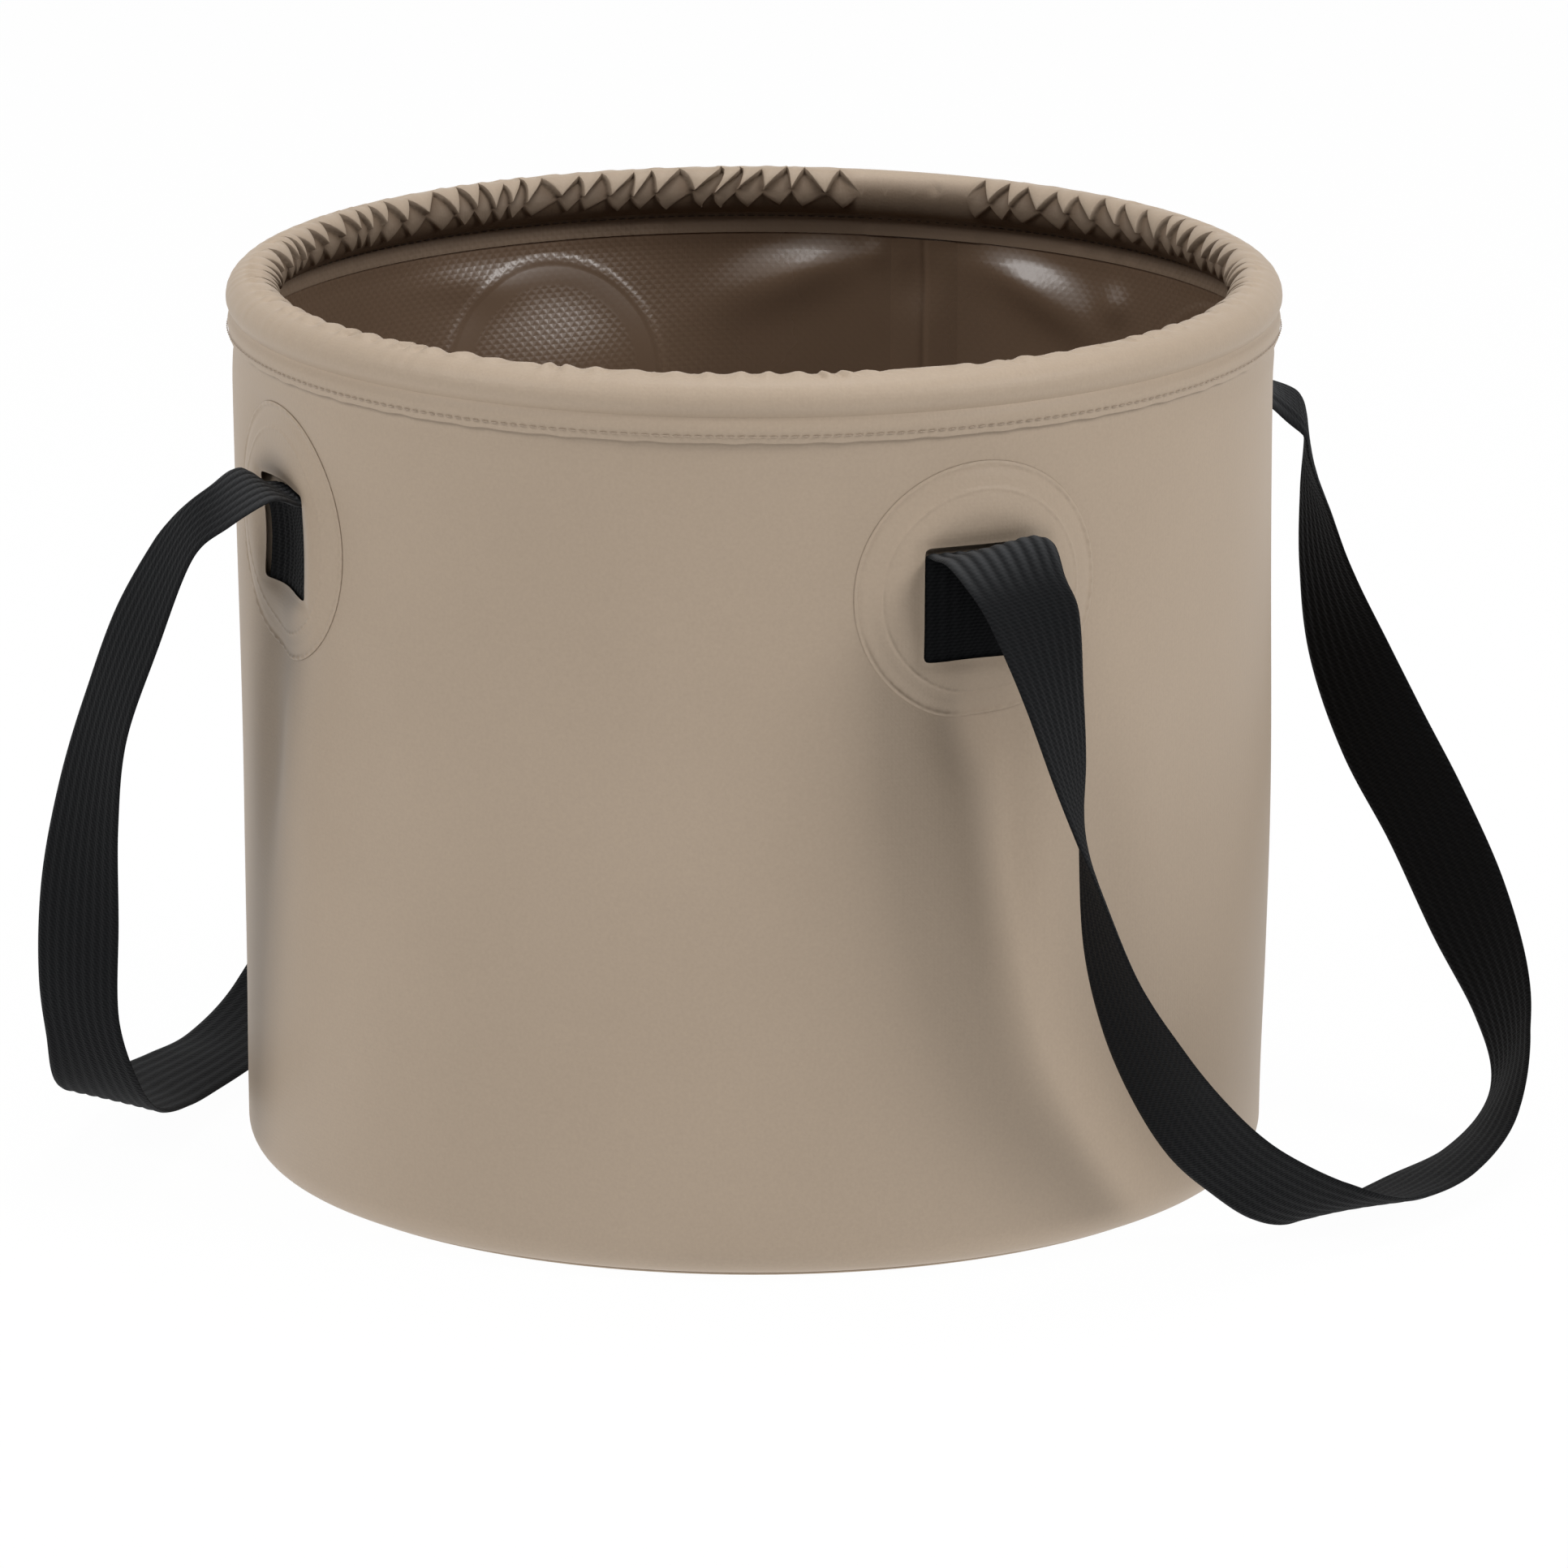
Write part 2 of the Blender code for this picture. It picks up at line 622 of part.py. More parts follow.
def build():
    """Makes every piece and hangs it on the empty that carries its body."""
    for piece in list(bpy.data.objects):
        bpy.data.objects.remove(piece, do_unlink=True)
    tarpaulin = finish("coated_fabric", (0.4, 0.315, 0.235), 0.55)
    black_webbing = finish("black_webbing", (0.017, 0.017, 0.018), 0.7)
    hoop_plastic = finish("hoop_plastic", (0.75, 0.74, 0.7), 0.4)
    thread = finish("sewing_thread", (0.3, 0.25, 0.19), 0.8)

    ground = pivot("base_pivot", (0, 0, 0))
    rim = pivot("rim_pivot", (0, 0, RIM_HEIGHT))
    folds = pivot("fold_pivot", (0, 0, FOLD_HEIGHT))

    base_panel(tarpaulin, ground)
    wall_panel(tarpaulin, ground)
    wall_seam_tape(tarpaulin, ground)
    sides = (("right", 1, RIGHT_ROUTE_SHARES), ("left", -1, LEFT_ROUTE_SHARES))
    for side_name, side, route_shares in sides:
        stations = strap_stations(side, route_shares)
        swing_out = []
        for end, direction in (("front", -1), ("back", 1)):
            turn = math.atan2(direction * math.sin(PATCH_TURN), side * math.cos(PATCH_TURN))
            from_end = stations[::-direction]
            corner = side_name + "_" + end
            handle_patch("handle_patch_" + corner, turn, tarpaulin, ground)
            strap_end("strap_end_" + corner, turn, from_end, black_webbing, folds)
            swing_out.append(swing_station(from_end, 0)[0][0, 0])
        swing = pivot(side_name + "_swing_pivot", (sum(swing_out) / 2, 0, SWING_HEIGHT))
        handle_strap("handle_strap_" + side_name, stations, black_webbing, swing)
        print(side_name, "strap swings about Y at", tuple(round(v, 5) for v in swing.location))
    hoop_tube(hoop_plastic, rim)
    hoop_joiner(hoop_plastic, rim)
    rim_sleeve(tarpaulin, rim)
    outer_face, _, _, inner_face = hem_faces()
    hem_thread("hem_thread_outside", outer_face + CLEARANCE + THREAD_RADIUS, thread, rim)
    hem_thread("hem_thread_inside", inner_face - CLEARANCE - THREAD_RADIUS, thread, rim)


build()
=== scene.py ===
"""Collapsible camp bucket of coated fabric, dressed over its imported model.

Metres, +Z up. The bucket stands on z = 0 round the z axis, its straps hang at +X and -X, and the
wall's seam is at +Y. A turn is an angle round that axis, counted from +X.
"""

import math

import bpy
import numpy as np
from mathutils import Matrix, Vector


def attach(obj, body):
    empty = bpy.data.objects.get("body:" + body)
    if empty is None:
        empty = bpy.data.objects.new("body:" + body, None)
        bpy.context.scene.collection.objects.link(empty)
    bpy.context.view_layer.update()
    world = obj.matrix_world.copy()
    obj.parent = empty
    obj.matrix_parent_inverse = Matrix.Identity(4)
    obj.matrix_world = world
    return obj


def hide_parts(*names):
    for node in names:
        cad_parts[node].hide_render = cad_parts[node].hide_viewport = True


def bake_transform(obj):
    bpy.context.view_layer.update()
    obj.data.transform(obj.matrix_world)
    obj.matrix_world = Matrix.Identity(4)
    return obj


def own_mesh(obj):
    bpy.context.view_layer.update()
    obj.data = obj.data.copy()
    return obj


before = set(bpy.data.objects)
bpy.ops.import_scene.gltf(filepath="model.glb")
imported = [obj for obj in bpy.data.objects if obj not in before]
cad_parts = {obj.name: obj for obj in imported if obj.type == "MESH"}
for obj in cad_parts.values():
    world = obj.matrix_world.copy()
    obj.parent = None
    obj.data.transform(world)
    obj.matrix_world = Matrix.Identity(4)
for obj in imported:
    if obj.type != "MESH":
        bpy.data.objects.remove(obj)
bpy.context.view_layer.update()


# Camera
#
# A long lens about four metres off, twenty degrees round to the right of the front and fourteen
# degrees up. The shift only sets the bucket in its place in the frame.

FRAME_PIXELS = 1932
FOCAL_PIXELS = 15842
SENSOR_WIDTH = 36
FRAME_SHIFT = (0.0191, -0.0413)
AIM_HEIGHT = 0.14
CAMERA_DISTANCE = 4.1047
CAMERA_TURN = math.radians(20)
CAMERA_RISE = math.radians(14.055)


def set_out(name, data):
    """A new object in the scene, at the origin."""
    made = bpy.data.objects.new(name, data)
    bpy.context.collection.objects.link(made)
    return made


aim = Vector((0, 0, AIM_HEIGHT))
towards_camera = Vector(
    (
        math.sin(CAMERA_TURN) * math.cos(CAMERA_RISE),
        -math.cos(CAMERA_TURN) * math.cos(CAMERA_RISE),
        math.sin(CAMERA_RISE),
    )
)
lens = bpy.data.cameras.new("camera")
lens.sensor_width = SENSOR_WIDTH
lens.lens = SENSOR_WIDTH * FOCAL_PIXELS / FRAME_PIXELS
lens.shift_x, lens.shift_y = FRAME_SHIFT
camera = set_out("camera", lens)
camera.location = aim + towards_camera * CAMERA_DISTANCE
camera.rotation_euler = (-towards_camera).to_track_quat("-Z", "Y").to_euler()
bpy.context.scene.camera = camera
bpy.context.scene.view_settings.view_transform = "Standard"


# Studio
#
# A white floor lit from beneath, as on a product table, gives half of the wall's light. A softbox
# well round to each side of the camera, one overhead and a small one in front give the rest.

FLOOR_REACH = 12
FLOOR_COLOUR = (0.8, 0.8, 0.8, 1)
FLOOR_GLOW = 0.97
FLOOR_LIGHT = 1.0
GLOW_STRENGTH = 1.01
ROOM_LIGHT = 0.03
WHITE = (1, 1, 1, 1)


def fill(made, inputs):
    """Fills a shader node's inputs by name or number, and links those given as sockets."""
    for key, value in inputs.items():
        if isinstance(value, bpy.types.NodeSocket):
            made.id_data.links.new(value, made.inputs[key])
        else:
            made.inputs[key].default_value = value


def node(tree, kind, inputs=None, **settings):
    """Adds a shader node, makes its settings and fills its inputs."""
    made = tree.nodes.new(kind)
    for key, value in settings.items():
        setattr(made, key, value)
    fill(made, inputs or {})
    return made


def reckon(operation, *values):
    """One step of arithmetic on a socket and, where it takes two, on a second value."""
    tree = values[0].id_data
    return node(tree, "ShaderNodeMath", dict(enumerate(values)), operation=operation).outputs[0]


def spread(value, low, high, start=0, end=1, **settings):
    """Carries a value that runs from start to end over to the range from low to high."""
    inputs = {"Value": value, "From Min": start, "From Max": end, "To Min": low, "To Max": high}
    return node(value.id_data, "ShaderNodeMapRange", inputs, **settings).outputs[0]


def seen_directly(tree):
    """1 for rays that come from the camera, a gloss or a glass, and 0 for the rest."""
    path = node(tree, "ShaderNodeLightPath").outputs
    gloss = reckon("MAXIMUM", path["Is Camera Ray"], path["Is Glossy Ray"])
    return reckon("MAXIMUM", gloss, path["Is Transmission Ray"])


floor_paint = bpy.data.materials.new("floor_paint")
floor_paint.use_nodes = True
tree = floor_paint.node_tree
tree.nodes.clear()
share = spread(seen_directly(tree), FLOOR_LIGHT, FLOOR_GLOW)
matt = node(tree, "ShaderNodeBsdfDiffuse", {"Color": FLOOR_COLOUR}).outputs[0]
glow = {"Color": WHITE, "Strength": GLOW_STRENGTH}
glow = node(tree, "ShaderNodeEmission", glow).outputs[0]
mixed = node(tree, "ShaderNodeMixShader", {0: share, 1: matt, 2: glow}).outputs[0]
node(tree, "ShaderNodeOutputMaterial", {"Surface": mixed})

floor_mesh = bpy.data.meshes.new("floor")
floor_mesh.from_pydata(
    [(x * FLOOR_REACH, y * FLOOR_REACH, 0) for x, y in ((-1, -1), (1, -1), (1, 1), (-1, 1))],
    [],
    [(0, 1, 2, 3)],
)
floor_mesh.materials.append(floor_paint)
floor = set_out("floor", floor_mesh)

room = bpy.data.worlds.new("room")
room.use_nodes = True
tree = room.node_tree
tree.nodes.clear()
level = spread(seen_directly(tree), ROOM_LIGHT, 1)
air = node(tree, "ShaderNodeBackground", {"Color": WHITE, "Strength": level}).outputs[0]
node(tree, "ShaderNodeOutputWorld", {"Surface": air})
bpy.context.scene.world = room

# Each softbox: name, place, width and height in metres, power in watts.
for name, place, wide, high, power in (
    ("left_softbox", (-2.46, -2.21, 2.73), 1.6, 1.6, 60),
    ("right_softbox", (3.15, -0.4, 2.43), 1.5, 1.5, 68),
    ("front_softbox", (0.5, -3.1, 2.5), 1.1, 0.6, 17),
    ("top_softbox", (0.0, 0.2, 2.4), 1.2, 1.2, 25),
):
    lamp = bpy.data.lights.new(name, "AREA")
    lamp.shape = "RECTANGLE"
    lamp.size = wide
    lamp.size_y = high
    lamp.energy = power
    box = set_out(name, lamp)
    box.location = place
    box.rotation_euler = (aim - Vector(place)).to_track_quat("-Z", "Y").to_euler()


# Wall
#
# One long panel of polyester scrim coated with vinyl, matt taupe outside and glossy dark brown
# inside, its ends welded together at +Y and its foot turned in over the base. It stands slack,
# with soft dents where the straps pull and where it was folded.

FABRIC = 0.0009
MOUTH_RADIUS = 0.165
FOOT_RADIUS = 0.1623
FOOT_BEND = 0.0109
FOOT_LAP = 0.0125
LAP_UNDERSIDE = 0.0012
BEND_HEIGHT = LAP_UNDERSIDE + FOOT_BEND
HEM_HEIGHT = 0.268
WALL_TOP = 0.2752
PATCH_HEIGHT = 0.218
PATCH_TURNS = {
    "right_front": math.radians(-45),
    "right_back": math.radians(45),
    "left_front": math.radians(-135),
    "left_back": math.radians(135),
}
WELD_RADIUS = 0.036
WELD_WIDTH = 0.0048
WELD_PRESS = 0.0004
BACK_BEAD_RADIUS = 0.0405
HEM_GRIP = 0.002
HEM_FADE = 0.013
FOOT_FADE = 0.05
NIP_DEPTH = 0.0004
NIP_DROP = 0.003
NIP_WIDTH = 0.0022
SCRIM_PITCH = 0.0023
SCRIM_RELIEF = 0.000040
HEATED_REACH = 0.10
# Painted shade: the colour that the sleeve's creases, hollows and inner side are painted towards.
PAINTED_SHADE_COLOUR = (0.12, 0.082, 0.055, 1)
WALL_COLUMNS = 400
WALL_ROWS = 96
FOOT_BEND_ROWS = 13
FOOT_LAP_ROWS = 5
ROUND_A_FACE = ((0, 0), (0, 1), (1, 1), (1, 0))
SHARP_EDGE = math.radians(50)

# Each wave: height, crests round the drum, radians a metre up the wall, and where it starts.
WALL_WAVES = ((0.00035, 3, 9, 0), (0.00028, 5, -17, 1.3), (0.00016, 9, 31, 0.4))

# Each dent: turn in degrees, height, half width, half height, depth inwards, lean in degrees.
WALL_DENTS = (
    (-41, 0.14, 0.011, 0.036, 0.0044, 5),
    (-45, 0.178, 0.012, 0.018, 0.0058, 16),
    (-28, 0.12, 0.012, 0.034, 0.0016, 8),
    (-58, 0.15, 0.022, 0.03, -0.001, 20),
    (-137, 0.214, 0.024, 0.036, 0.0086, 0),
    (-139, 0.15, 0.01, 0.034, 0.0036, -4),
    (-128, 0.13, 0.016, 0.034, -0.0008, -10),
    (-88, 0.11, 0.04, 0.06, 0.0012, 14),
    (-108, 0.06, 0.05, 0.04, -0.0008, 0),
    (-70, 0.23, 0.04, 0.018, 0.0008, 70),
    (-15, 0.15, 0.03, 0.07, 0.0014, 0),
    (20, 0.11, 0.034, 0.06, -0.001, 8),
    (52, 0.15, 0.012, 0.034, 0.0026, -18),
    (128, 0.15, 0.012, 0.036, 0.0026, 14),
    (165, 0.11, 0.034, 0.06, 0.0016, -8),
    (-170, 0.1, 0.03, 0.05, -0.001, 6),
    (106, 0.25, 0.024, 0.0095, 0.0042, -24),
    (75, 0.2508, 0.025, 0.0085, 0.005, 26),
    (64, 0.25, 0.006, 0.0055, 0.0024, 15),
    (91, 0.25, 0.008, 0.011, -0.0014, 0),
    (96, 0.259, 0.003, 0.0035, 0.0016, 35),
    (145, 0.254, 0.018, 0.007, 0.0013, 13),
    (134, 0.2185, 0.037, 0.027, 0.0092, 0),
    (45, 0.219, 0.024, 0.02, 0.003, 0),
)


def wall_radius(height):
    """The drum's plain radius, which grows evenly from the foot's bend to the hem."""
    share = np.clip((height - BEND_HEIGHT) / (HEM_HEIGHT - BEND_HEIGHT), 0, 1)
    return FOOT_RADIUS + (MOUTH_RADIUS - FOOT_RADIUS) * share


def ease(share):
    """Rises smoothly from 0 at share 0 to 1 at share 1: three squares less two cubes."""
    share = np.clip(share, 0, 1)
    return share * share * (3 - 2 * share)


def bell(distance, width):
    """Falls from 1 on both sides: e to the power of minus the squared distance over the width."""
    return np.exp(-((distance / width) ** 2))


def turn_apart(turn, other):
    """The signed angle from one turn to another, between minus pi and pi."""
    return (turn - other + np.pi) % (2 * np.pi) - np.pi


def slack(turn, height):
    """How far the wall stands out from its plain radius.

    Long low waves round the drum and up it, less one bell-shaped dent for each row of the table,
    all fading out at the hem and at the foot's bend. The stitched hem nips the wall in below it.
    """
    waves = sum(
        high * np.sin(crests * turn + up * height + start)
        for high, crests, up, start in WALL_WAVES
    )
    for degrees, middle, wide, high, depth, lean in WALL_DENTS:
        along = turn_apart(turn, math.radians(degrees)) * MOUTH_RADIUS
        up = height - middle
        tilt = math.radians(lean)
        across = along * math.cos(tilt) + up * math.sin(tilt)
        upward = up * math.cos(tilt) - along * math.sin(tilt)
        waves = waves - depth * bell(across, wide) * bell(upward, high)
    below_hem = HEM_HEIGHT - HEM_GRIP - height
    held = ease(below_hem / HEM_FADE) * ease((height - BEND_HEIGHT) / FOOT_FADE)
    return waves * held - NIP_DEPTH * bell(height - HEM_HEIGHT + NIP_DROP, NIP_WIDTH)


def from_patch(turn, height):
    """Distance along the wall to the nearest patch's middle."""
    ways = [
        np.hypot(turn_apart(turn, middle) * MOUTH_RADIUS, height - PATCH_HEIGHT)
        for middle in PATCH_TURNS.values()
    ]
    return np.min(ways, axis=0)


def around(radius, height, turn):
    """Points at the given radii and heights, turned about the drum's axis."""
    sides = np.broadcast_arrays(radius * np.cos(turn), radius * np.sin(turn), height)
    return np.stack(sides, axis=-1)


def face_corners(rows, columns, spans):
    """Numbers of the points round each face, on a grid whose columns go all the way round."""
    row, column = np.meshgrid(np.arange(spans), np.arange(columns), indexing="ij")
    corners = [(row + r) % rows * columns + (column + c) % columns for r, c in ROUND_A_FACE]
    return np.stack(corners, axis=-1).reshape(-1, 4)


def surface(name, points, cloth, finishes, rows_meet=False, row_finish=None):
    """A closed piece from a grid of points, whose columns go all the way round.

    The last row joins the first where rows_meet is true, and otherwise each end row is closed by
    a face of its own. cloth holds each point's place on the flat cloth, in metres, with a column
    more than points and, where the rows meet, a row more. Faces point outwards: the enclosed
    volume, a sixth of the sum of the corners' triple products, is made positive.
    """
    rows, columns = points.shape[:2]
    spans = rows if rows_meet else rows - 1
    corners = face_corners(rows, columns, spans)
    places = [cloth[r : r + spans, c : c + columns] for r, c in ROUND_A_FACE]
    places = np.stack(places, axis=-2).reshape(-1, 4, 2)
    flat = points.reshape(-1, 3)
    a, b, c, d = (flat[corners[:, k]] for k in range(4))
    volume = np.sum(a * np.cross(b, c)) + np.sum(a * np.cross(c, d))
    if volume < 0:
        corners = corners[:, ::-1]
        places = places[:, ::-1]
    faces = corners.tolist()
    uvs = places.reshape(-1, 2)
    if not rows_meet:
        first = list(range(columns))
        last = list(range((rows - 1) * columns, rows * columns))
        ends = (first, last[::-1]) if volume < 0 else (first[::-1], last)
        faces.extend(ends)
        for row, end in zip((0, -1), ends):
            uvs = np.vstack((uvs, cloth[row, np.array(end) % columns]))
    mesh = bpy.data.meshes.new(name)
    mesh.from_pydata(flat.tolist(), [], faces)
    mesh.uv_layers.new(name="cloth").data.foreach_set("uv", uvs.ravel())
    for finish in finishes:
        mesh.materials.append(finish)
    if row_finish is not None:
        of_face = np.repeat(np.asarray(row_finish)[:spans], columns)
        of_face = np.concatenate((of_face, np.zeros(len(faces) - len(of_face), dtype=int)))
        mesh.polygons.foreach_set("material_index", of_face)
    mesh.shade_smooth()
    mesh.set_sharp_from_angle(angle=SHARP_EDGE)
    mesh.update()
    return set_out(name, mesh)


def lengths_along(points):
    """How far each point of a line lies from the first one, along the line."""
    steps = np.linalg.norm(np.diff(points, axis=0), axis=1)
    return np.concatenate(([0], np.cumsum(steps)))


def wall_section():
    """Rows of the wall's section as radius, height, inward share and length along the cloth.

    The outer face comes down from the top, round the foot's bend and in under the drum; the inner
    face goes back the same way, one fabric thickness inside it.
    """
    down = np.linspace(WALL_TOP, BEND_HEIGHT, WALL_ROWS)
    bend = np.radians(np.linspace(0, -90, FOOT_BEND_ROWS))[1:]
    lap = np.linspace(0, FOOT_LAP, FOOT_LAP_ROWS)[1:]
    centre = FOOT_RADIUS - FOOT_BEND
    faces = []
    for inset in (0, FABRIC):
        reach = FOOT_BEND - inset
        radius = (wall_radius(down) - inset, centre + reach * np.cos(bend), centre - lap)
        under = np.full(len(lap), LAP_UNDERSIDE + inset)
        height = (down, BEND_HEIGHT + reach * np.sin(bend), under)
        faces.append((np.concatenate(radius), np.concatenate(height)))
    outer, inner = faces
    length = lengths_along(np.transpose(outer))
    radius = np.concatenate((outer[0], inner[0][::-1]))
    height = np.concatenate((outer[1], inner[1][::-1]))
    inside = np.concatenate((np.zeros(len(length)), np.ones(len(length))))
    return radius, height, inside, np.concatenate((length, length[::-1]))


def cloth_places(lengths, widths):
    """Grid of places on the flat cloth, from the rows' lengths and the columns' widths."""
    up, along = np.meshgrid(lengths, widths, indexing="ij")
    return np.stack((along, up), axis=-1)


def new_finish(name):
    """A material still without a look, and the tree its shader stands in."""
    material = bpy.data.materials.new(name)
    material.use_nodes = True
    return material, material.node_tree


def shade(material, colour, dull, relief, gloss=0.5):
    """Gives a material its colour, its dullness, its relief and its gloss."""
    look = {"Base Color": colour, "Roughness": dull, "Normal": relief, "Specular IOR Level": gloss}
    fill(material.node_tree.nodes["Principled BSDF"], look)
    return material


def place_in_space(tree):
    """Each point's place in the scene, in metres."""
    return node(tree, "ShaderNodeTexCoord").outputs["Object"]


def place_on_cloth(tree, degrees=0, shift=0):
    """Each point's place on the flat cloth, in metres, turned and shifted along it if asked."""
    cloth = node(tree, "ShaderNodeUVMap", uv_map="cloth").outputs[0]
    if degrees or shift:
        moved = {"Vector": cloth, "Rotation": (0, 0, math.radians(degrees))}
        cloth = node(tree, "ShaderNodeMapping", {**moved, "Location": (shift, 0, 0)}).outputs[0]
    return cloth


def clouds(place, scale, detail):
    """Soft random variation about one half."""
    inputs = {"Vector": place, "Scale": scale, "Detail": detail}
    return node(place.id_data, "ShaderNodeTexNoise", inputs).outputs["Fac"]


def tint(share, first, second):
    """The first colour where the share is 0, passing to the second where it is 1."""
    inputs = {0: share, 6: first, 7: second}
    return node(share.id_data, "ShaderNodeMix", inputs, data_type="RGBA").outputs[2]


def raised(height, strength, distance):
    """The face's direction where a relief of the given height stands on it."""
    inputs = {"Strength": strength, "Distance": distance, "Height": height}
    return node(height.id_data, "ShaderNodeBump", inputs).outputs[0]


def sine_ridges(place, axis, pitch):
    """Even ridges across one direction of the cloth: the sine of the place over the pitch."""
    parts = node(place.id_data, "ShaderNodeSeparateXYZ", {0: place}).outputs
    return reckon("SINE", reckon("MULTIPLY", parts[axis], 2 * math.pi / pitch))


def woven(place, pitch):
    """Scrim under the coating: the higher of the ridges along the cloth and across it."""
    warp, weft = (sine_ridges(place, axis, pitch) for axis in (0, 1))
    return reckon("MAXIMUM", warp, weft)


def vinyl_outside(name, painted_shade=None):
    """Matt taupe vinyl: broad mottling and a fine grain in the colour, grain and scrim in relief.

    The mesh's attribute named by the argument paints shade: where it is 1, the cloth is dark and
    without gloss.
    """
    material, tree = new_finish(name)
    place = place_in_space(tree)
    grain = clouds(place, 900, 4)
    colour = tint(clouds(place, 11, 3), (0.402, 0.315, 0.234, 1), (0.461, 0.364, 0.274, 1))
    speckle = {0: colour, "Scale": spread(grain, 0.93, 1.07)}
    colour = node(tree, "ShaderNodeVectorMath", speckle, operation="SCALE").outputs[0]
    gloss = 0.3
    # Painted shade: the attribute darkens the colour towards the shade colour and takes the gloss
    # away.
    if painted_shade:
        painted_shade_share = node(tree, "ShaderNodeAttribute", attribute_name=painted_shade).outputs["Fac"]
        colour = tint(painted_shade_share, colour, PAINTED_SHADE_COLOUR)
        gloss = spread(painted_shade_share, gloss, 0.06)
    scrim = reckon("MULTIPLY", woven(place_on_cloth(tree), 0.0013), 0.12)
    relief = raised(reckon("ADD", scrim, grain), 0.25, 0.0003)
    return shade(material, colour, spread(grain, 0.44, 0.6), relief, gloss)


def vinyl_inside(name, dark, light, roughness, gloss):
    """Glossy dark vinyl: the scrim lies on the bias under it, pressed flat where a patch is welded
    and fainter towards the seam at a quarter of the girth, where the cloth was heated.

    The heights are in metres. A ring's middle is at every odd eighth of the drum's girth, and the
    place along the girth is folded there, so that one circle serves for all four.
    """
    material, tree = new_finish(name)
    broad = clouds(place_in_space(tree), 16, 4)
    girth, drop = node(tree, "ShaderNodeSeparateXYZ", {0: place_on_cloth(tree)}).outputs[:2]
    eighth = math.pi * MOUTH_RADIUS / 4
    aside = reckon("SUBTRACT", reckon("PINGPONG", girth, eighth), eighth)
    below = reckon("SUBTRACT", drop, WALL_TOP - PATCH_HEIGHT)
    offset = node(tree, "ShaderNodeCombineXYZ", {0: aside, 1: below}).outputs[0]
    away = node(tree, "ShaderNodeVectorMath", {0: offset}, operation="LENGTH").outputs["Value"]

    def ring(radius, flat, width, high):
        """A smooth ridge round the ring's middle, flat on top and falling off over its width."""
        apart = reckon("ABSOLUTE", reckon("SUBTRACT", away, radius))
        return spread(apart, high, 0, flat, width, interpolation_type="SMOOTHSTEP")

    pressed = ring(WELD_RADIUS, 0.0034, WELD_WIDTH, 1)
    bead = ring(BACK_BEAD_RADIUS, 0.0003, 0.0024, 0.00022)
    free = spread(pressed, SCRIM_RELIEF, SCRIM_RELIEF / 8)
    from_seam = reckon("ABSOLUTE", reckon("SUBTRACT", girth, 2 * eighth))
    unheated = spread(from_seam, 0.25, 1, HEATED_REACH / 2, HEATED_REACH)
    scrim = woven(place_on_cloth(tree, degrees=45), SCRIM_PITCH)
    scrim = reckon("MULTIPLY", scrim, reckon("MULTIPLY", unheated, free))
    colour = tint(broad, (*dark, 1), (*light, 1))
    dull = spread(broad, roughness - 0.04, roughness + 0.06)
    return shade(material, colour, dull, raised(reckon("ADD", scrim, bead), 1, 1), gloss)


taupe_vinyl = vinyl_outside("taupe_vinyl")
brown_lining = vinyl_inside(
    "brown_lining", (0.165, 0.108, 0.070), (0.200, 0.131, 0.086), 0.27, 0.55
)


def follow_wall(piece):
    """Carries a soft piece on the wall with the base, on a mesh of its own."""
    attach(piece, "base")
    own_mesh(piece)


section_radius, section_height, section_inside, section_length = wall_section()
wall_turns = 2 * np.pi * np.arange(WALL_COLUMNS + 1) / WALL_COLUMNS
height_grid, turn_grid = np.meshgrid(section_height, wall_turns[:-1], indexing="ij")
weld = np.exp(-(((from_patch(turn_grid, height_grid) - WELD_RADIUS) / WELD_WIDTH) ** 4))
stand = slack(turn_grid, height_grid) - WELD_PRESS * weld * section_inside[:, None]
wall_points = around(section_radius[:, None] + stand, height_grid, turn_grid)
wall = surface(
    "wall",
    wall_points,
    cloth_places(np.append(section_length, 0), wall_turns * MOUTH_RADIUS),
    (taupe_vinyl, brown_lining),
    rows_meet=True,
    row_finish=section_inside.astype(int),
)
follow_wall(wall)
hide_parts("wall_panel")


# Seam tape
#
# A strip of the same vinyl, 25 mm wide, welded up the inside over the meeting ends of the wall.
# Its edges are thinned by the weld, and the butted ends show through it as a crease.

CLEARANCE = 0.0003
TAPE_WIDTH = 0.025
TAPE_TURN = math.radians(90)
TAPE_ROWS = 120
TAPE_COLUMNS = 41
TAPE_TOP = HEM_HEIGHT - 0.004
CREASE_DEPTH = 0.00055
CREASE_WIDTH = 0.0010

tape_heights = np.linspace(BEND_HEIGHT, TAPE_TOP, TAPE_ROWS)[:, None]
tape_across = np.linspace(-0.5, 0.5, TAPE_COLUMNS) * TAPE_WIDTH
tape_turns = TAPE_TURN + tape_across / MOUTH_RADIUS
thinned = (2 * tape_across / TAPE_WIDTH) ** 2
welded_face = wall_radius(tape_heights) + slack(tape_turns, tape_heights) - FABRIC
welded_face = welded_face - CLEARANCE * (1 - 1.5 * thinned)
thickness = 0.7 * FABRIC * (1 - 0.95 * thinned)
free_face = welded_face - thickness + CREASE_DEPTH * bell(tape_across, CREASE_WIDTH)
tape_points = np.concatenate(
    (
        around(welded_face, tape_heights, tape_turns),
        around(free_face[:, ::-1], tape_heights, tape_turns[::-1]),
    ),
    axis=1,
)
tape_widths = np.concatenate((tape_across, tape_across[::-1], tape_across[:1]))
tape_cloth = cloth_places(WALL_TOP - tape_heights[:, 0], TAPE_TURN * MOUTH_RADIUS + tape_widths)
tape = surface("seam_tape", tape_points, tape_cloth, (brown_lining,))
follow_wall(tape)
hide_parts("wall_seam_tape")


# Base
#
# A round panel of the same vinyl, welded under the turned-in foot of the wall. It is laid flat
# and its inside swells a little, because nothing stretches it.

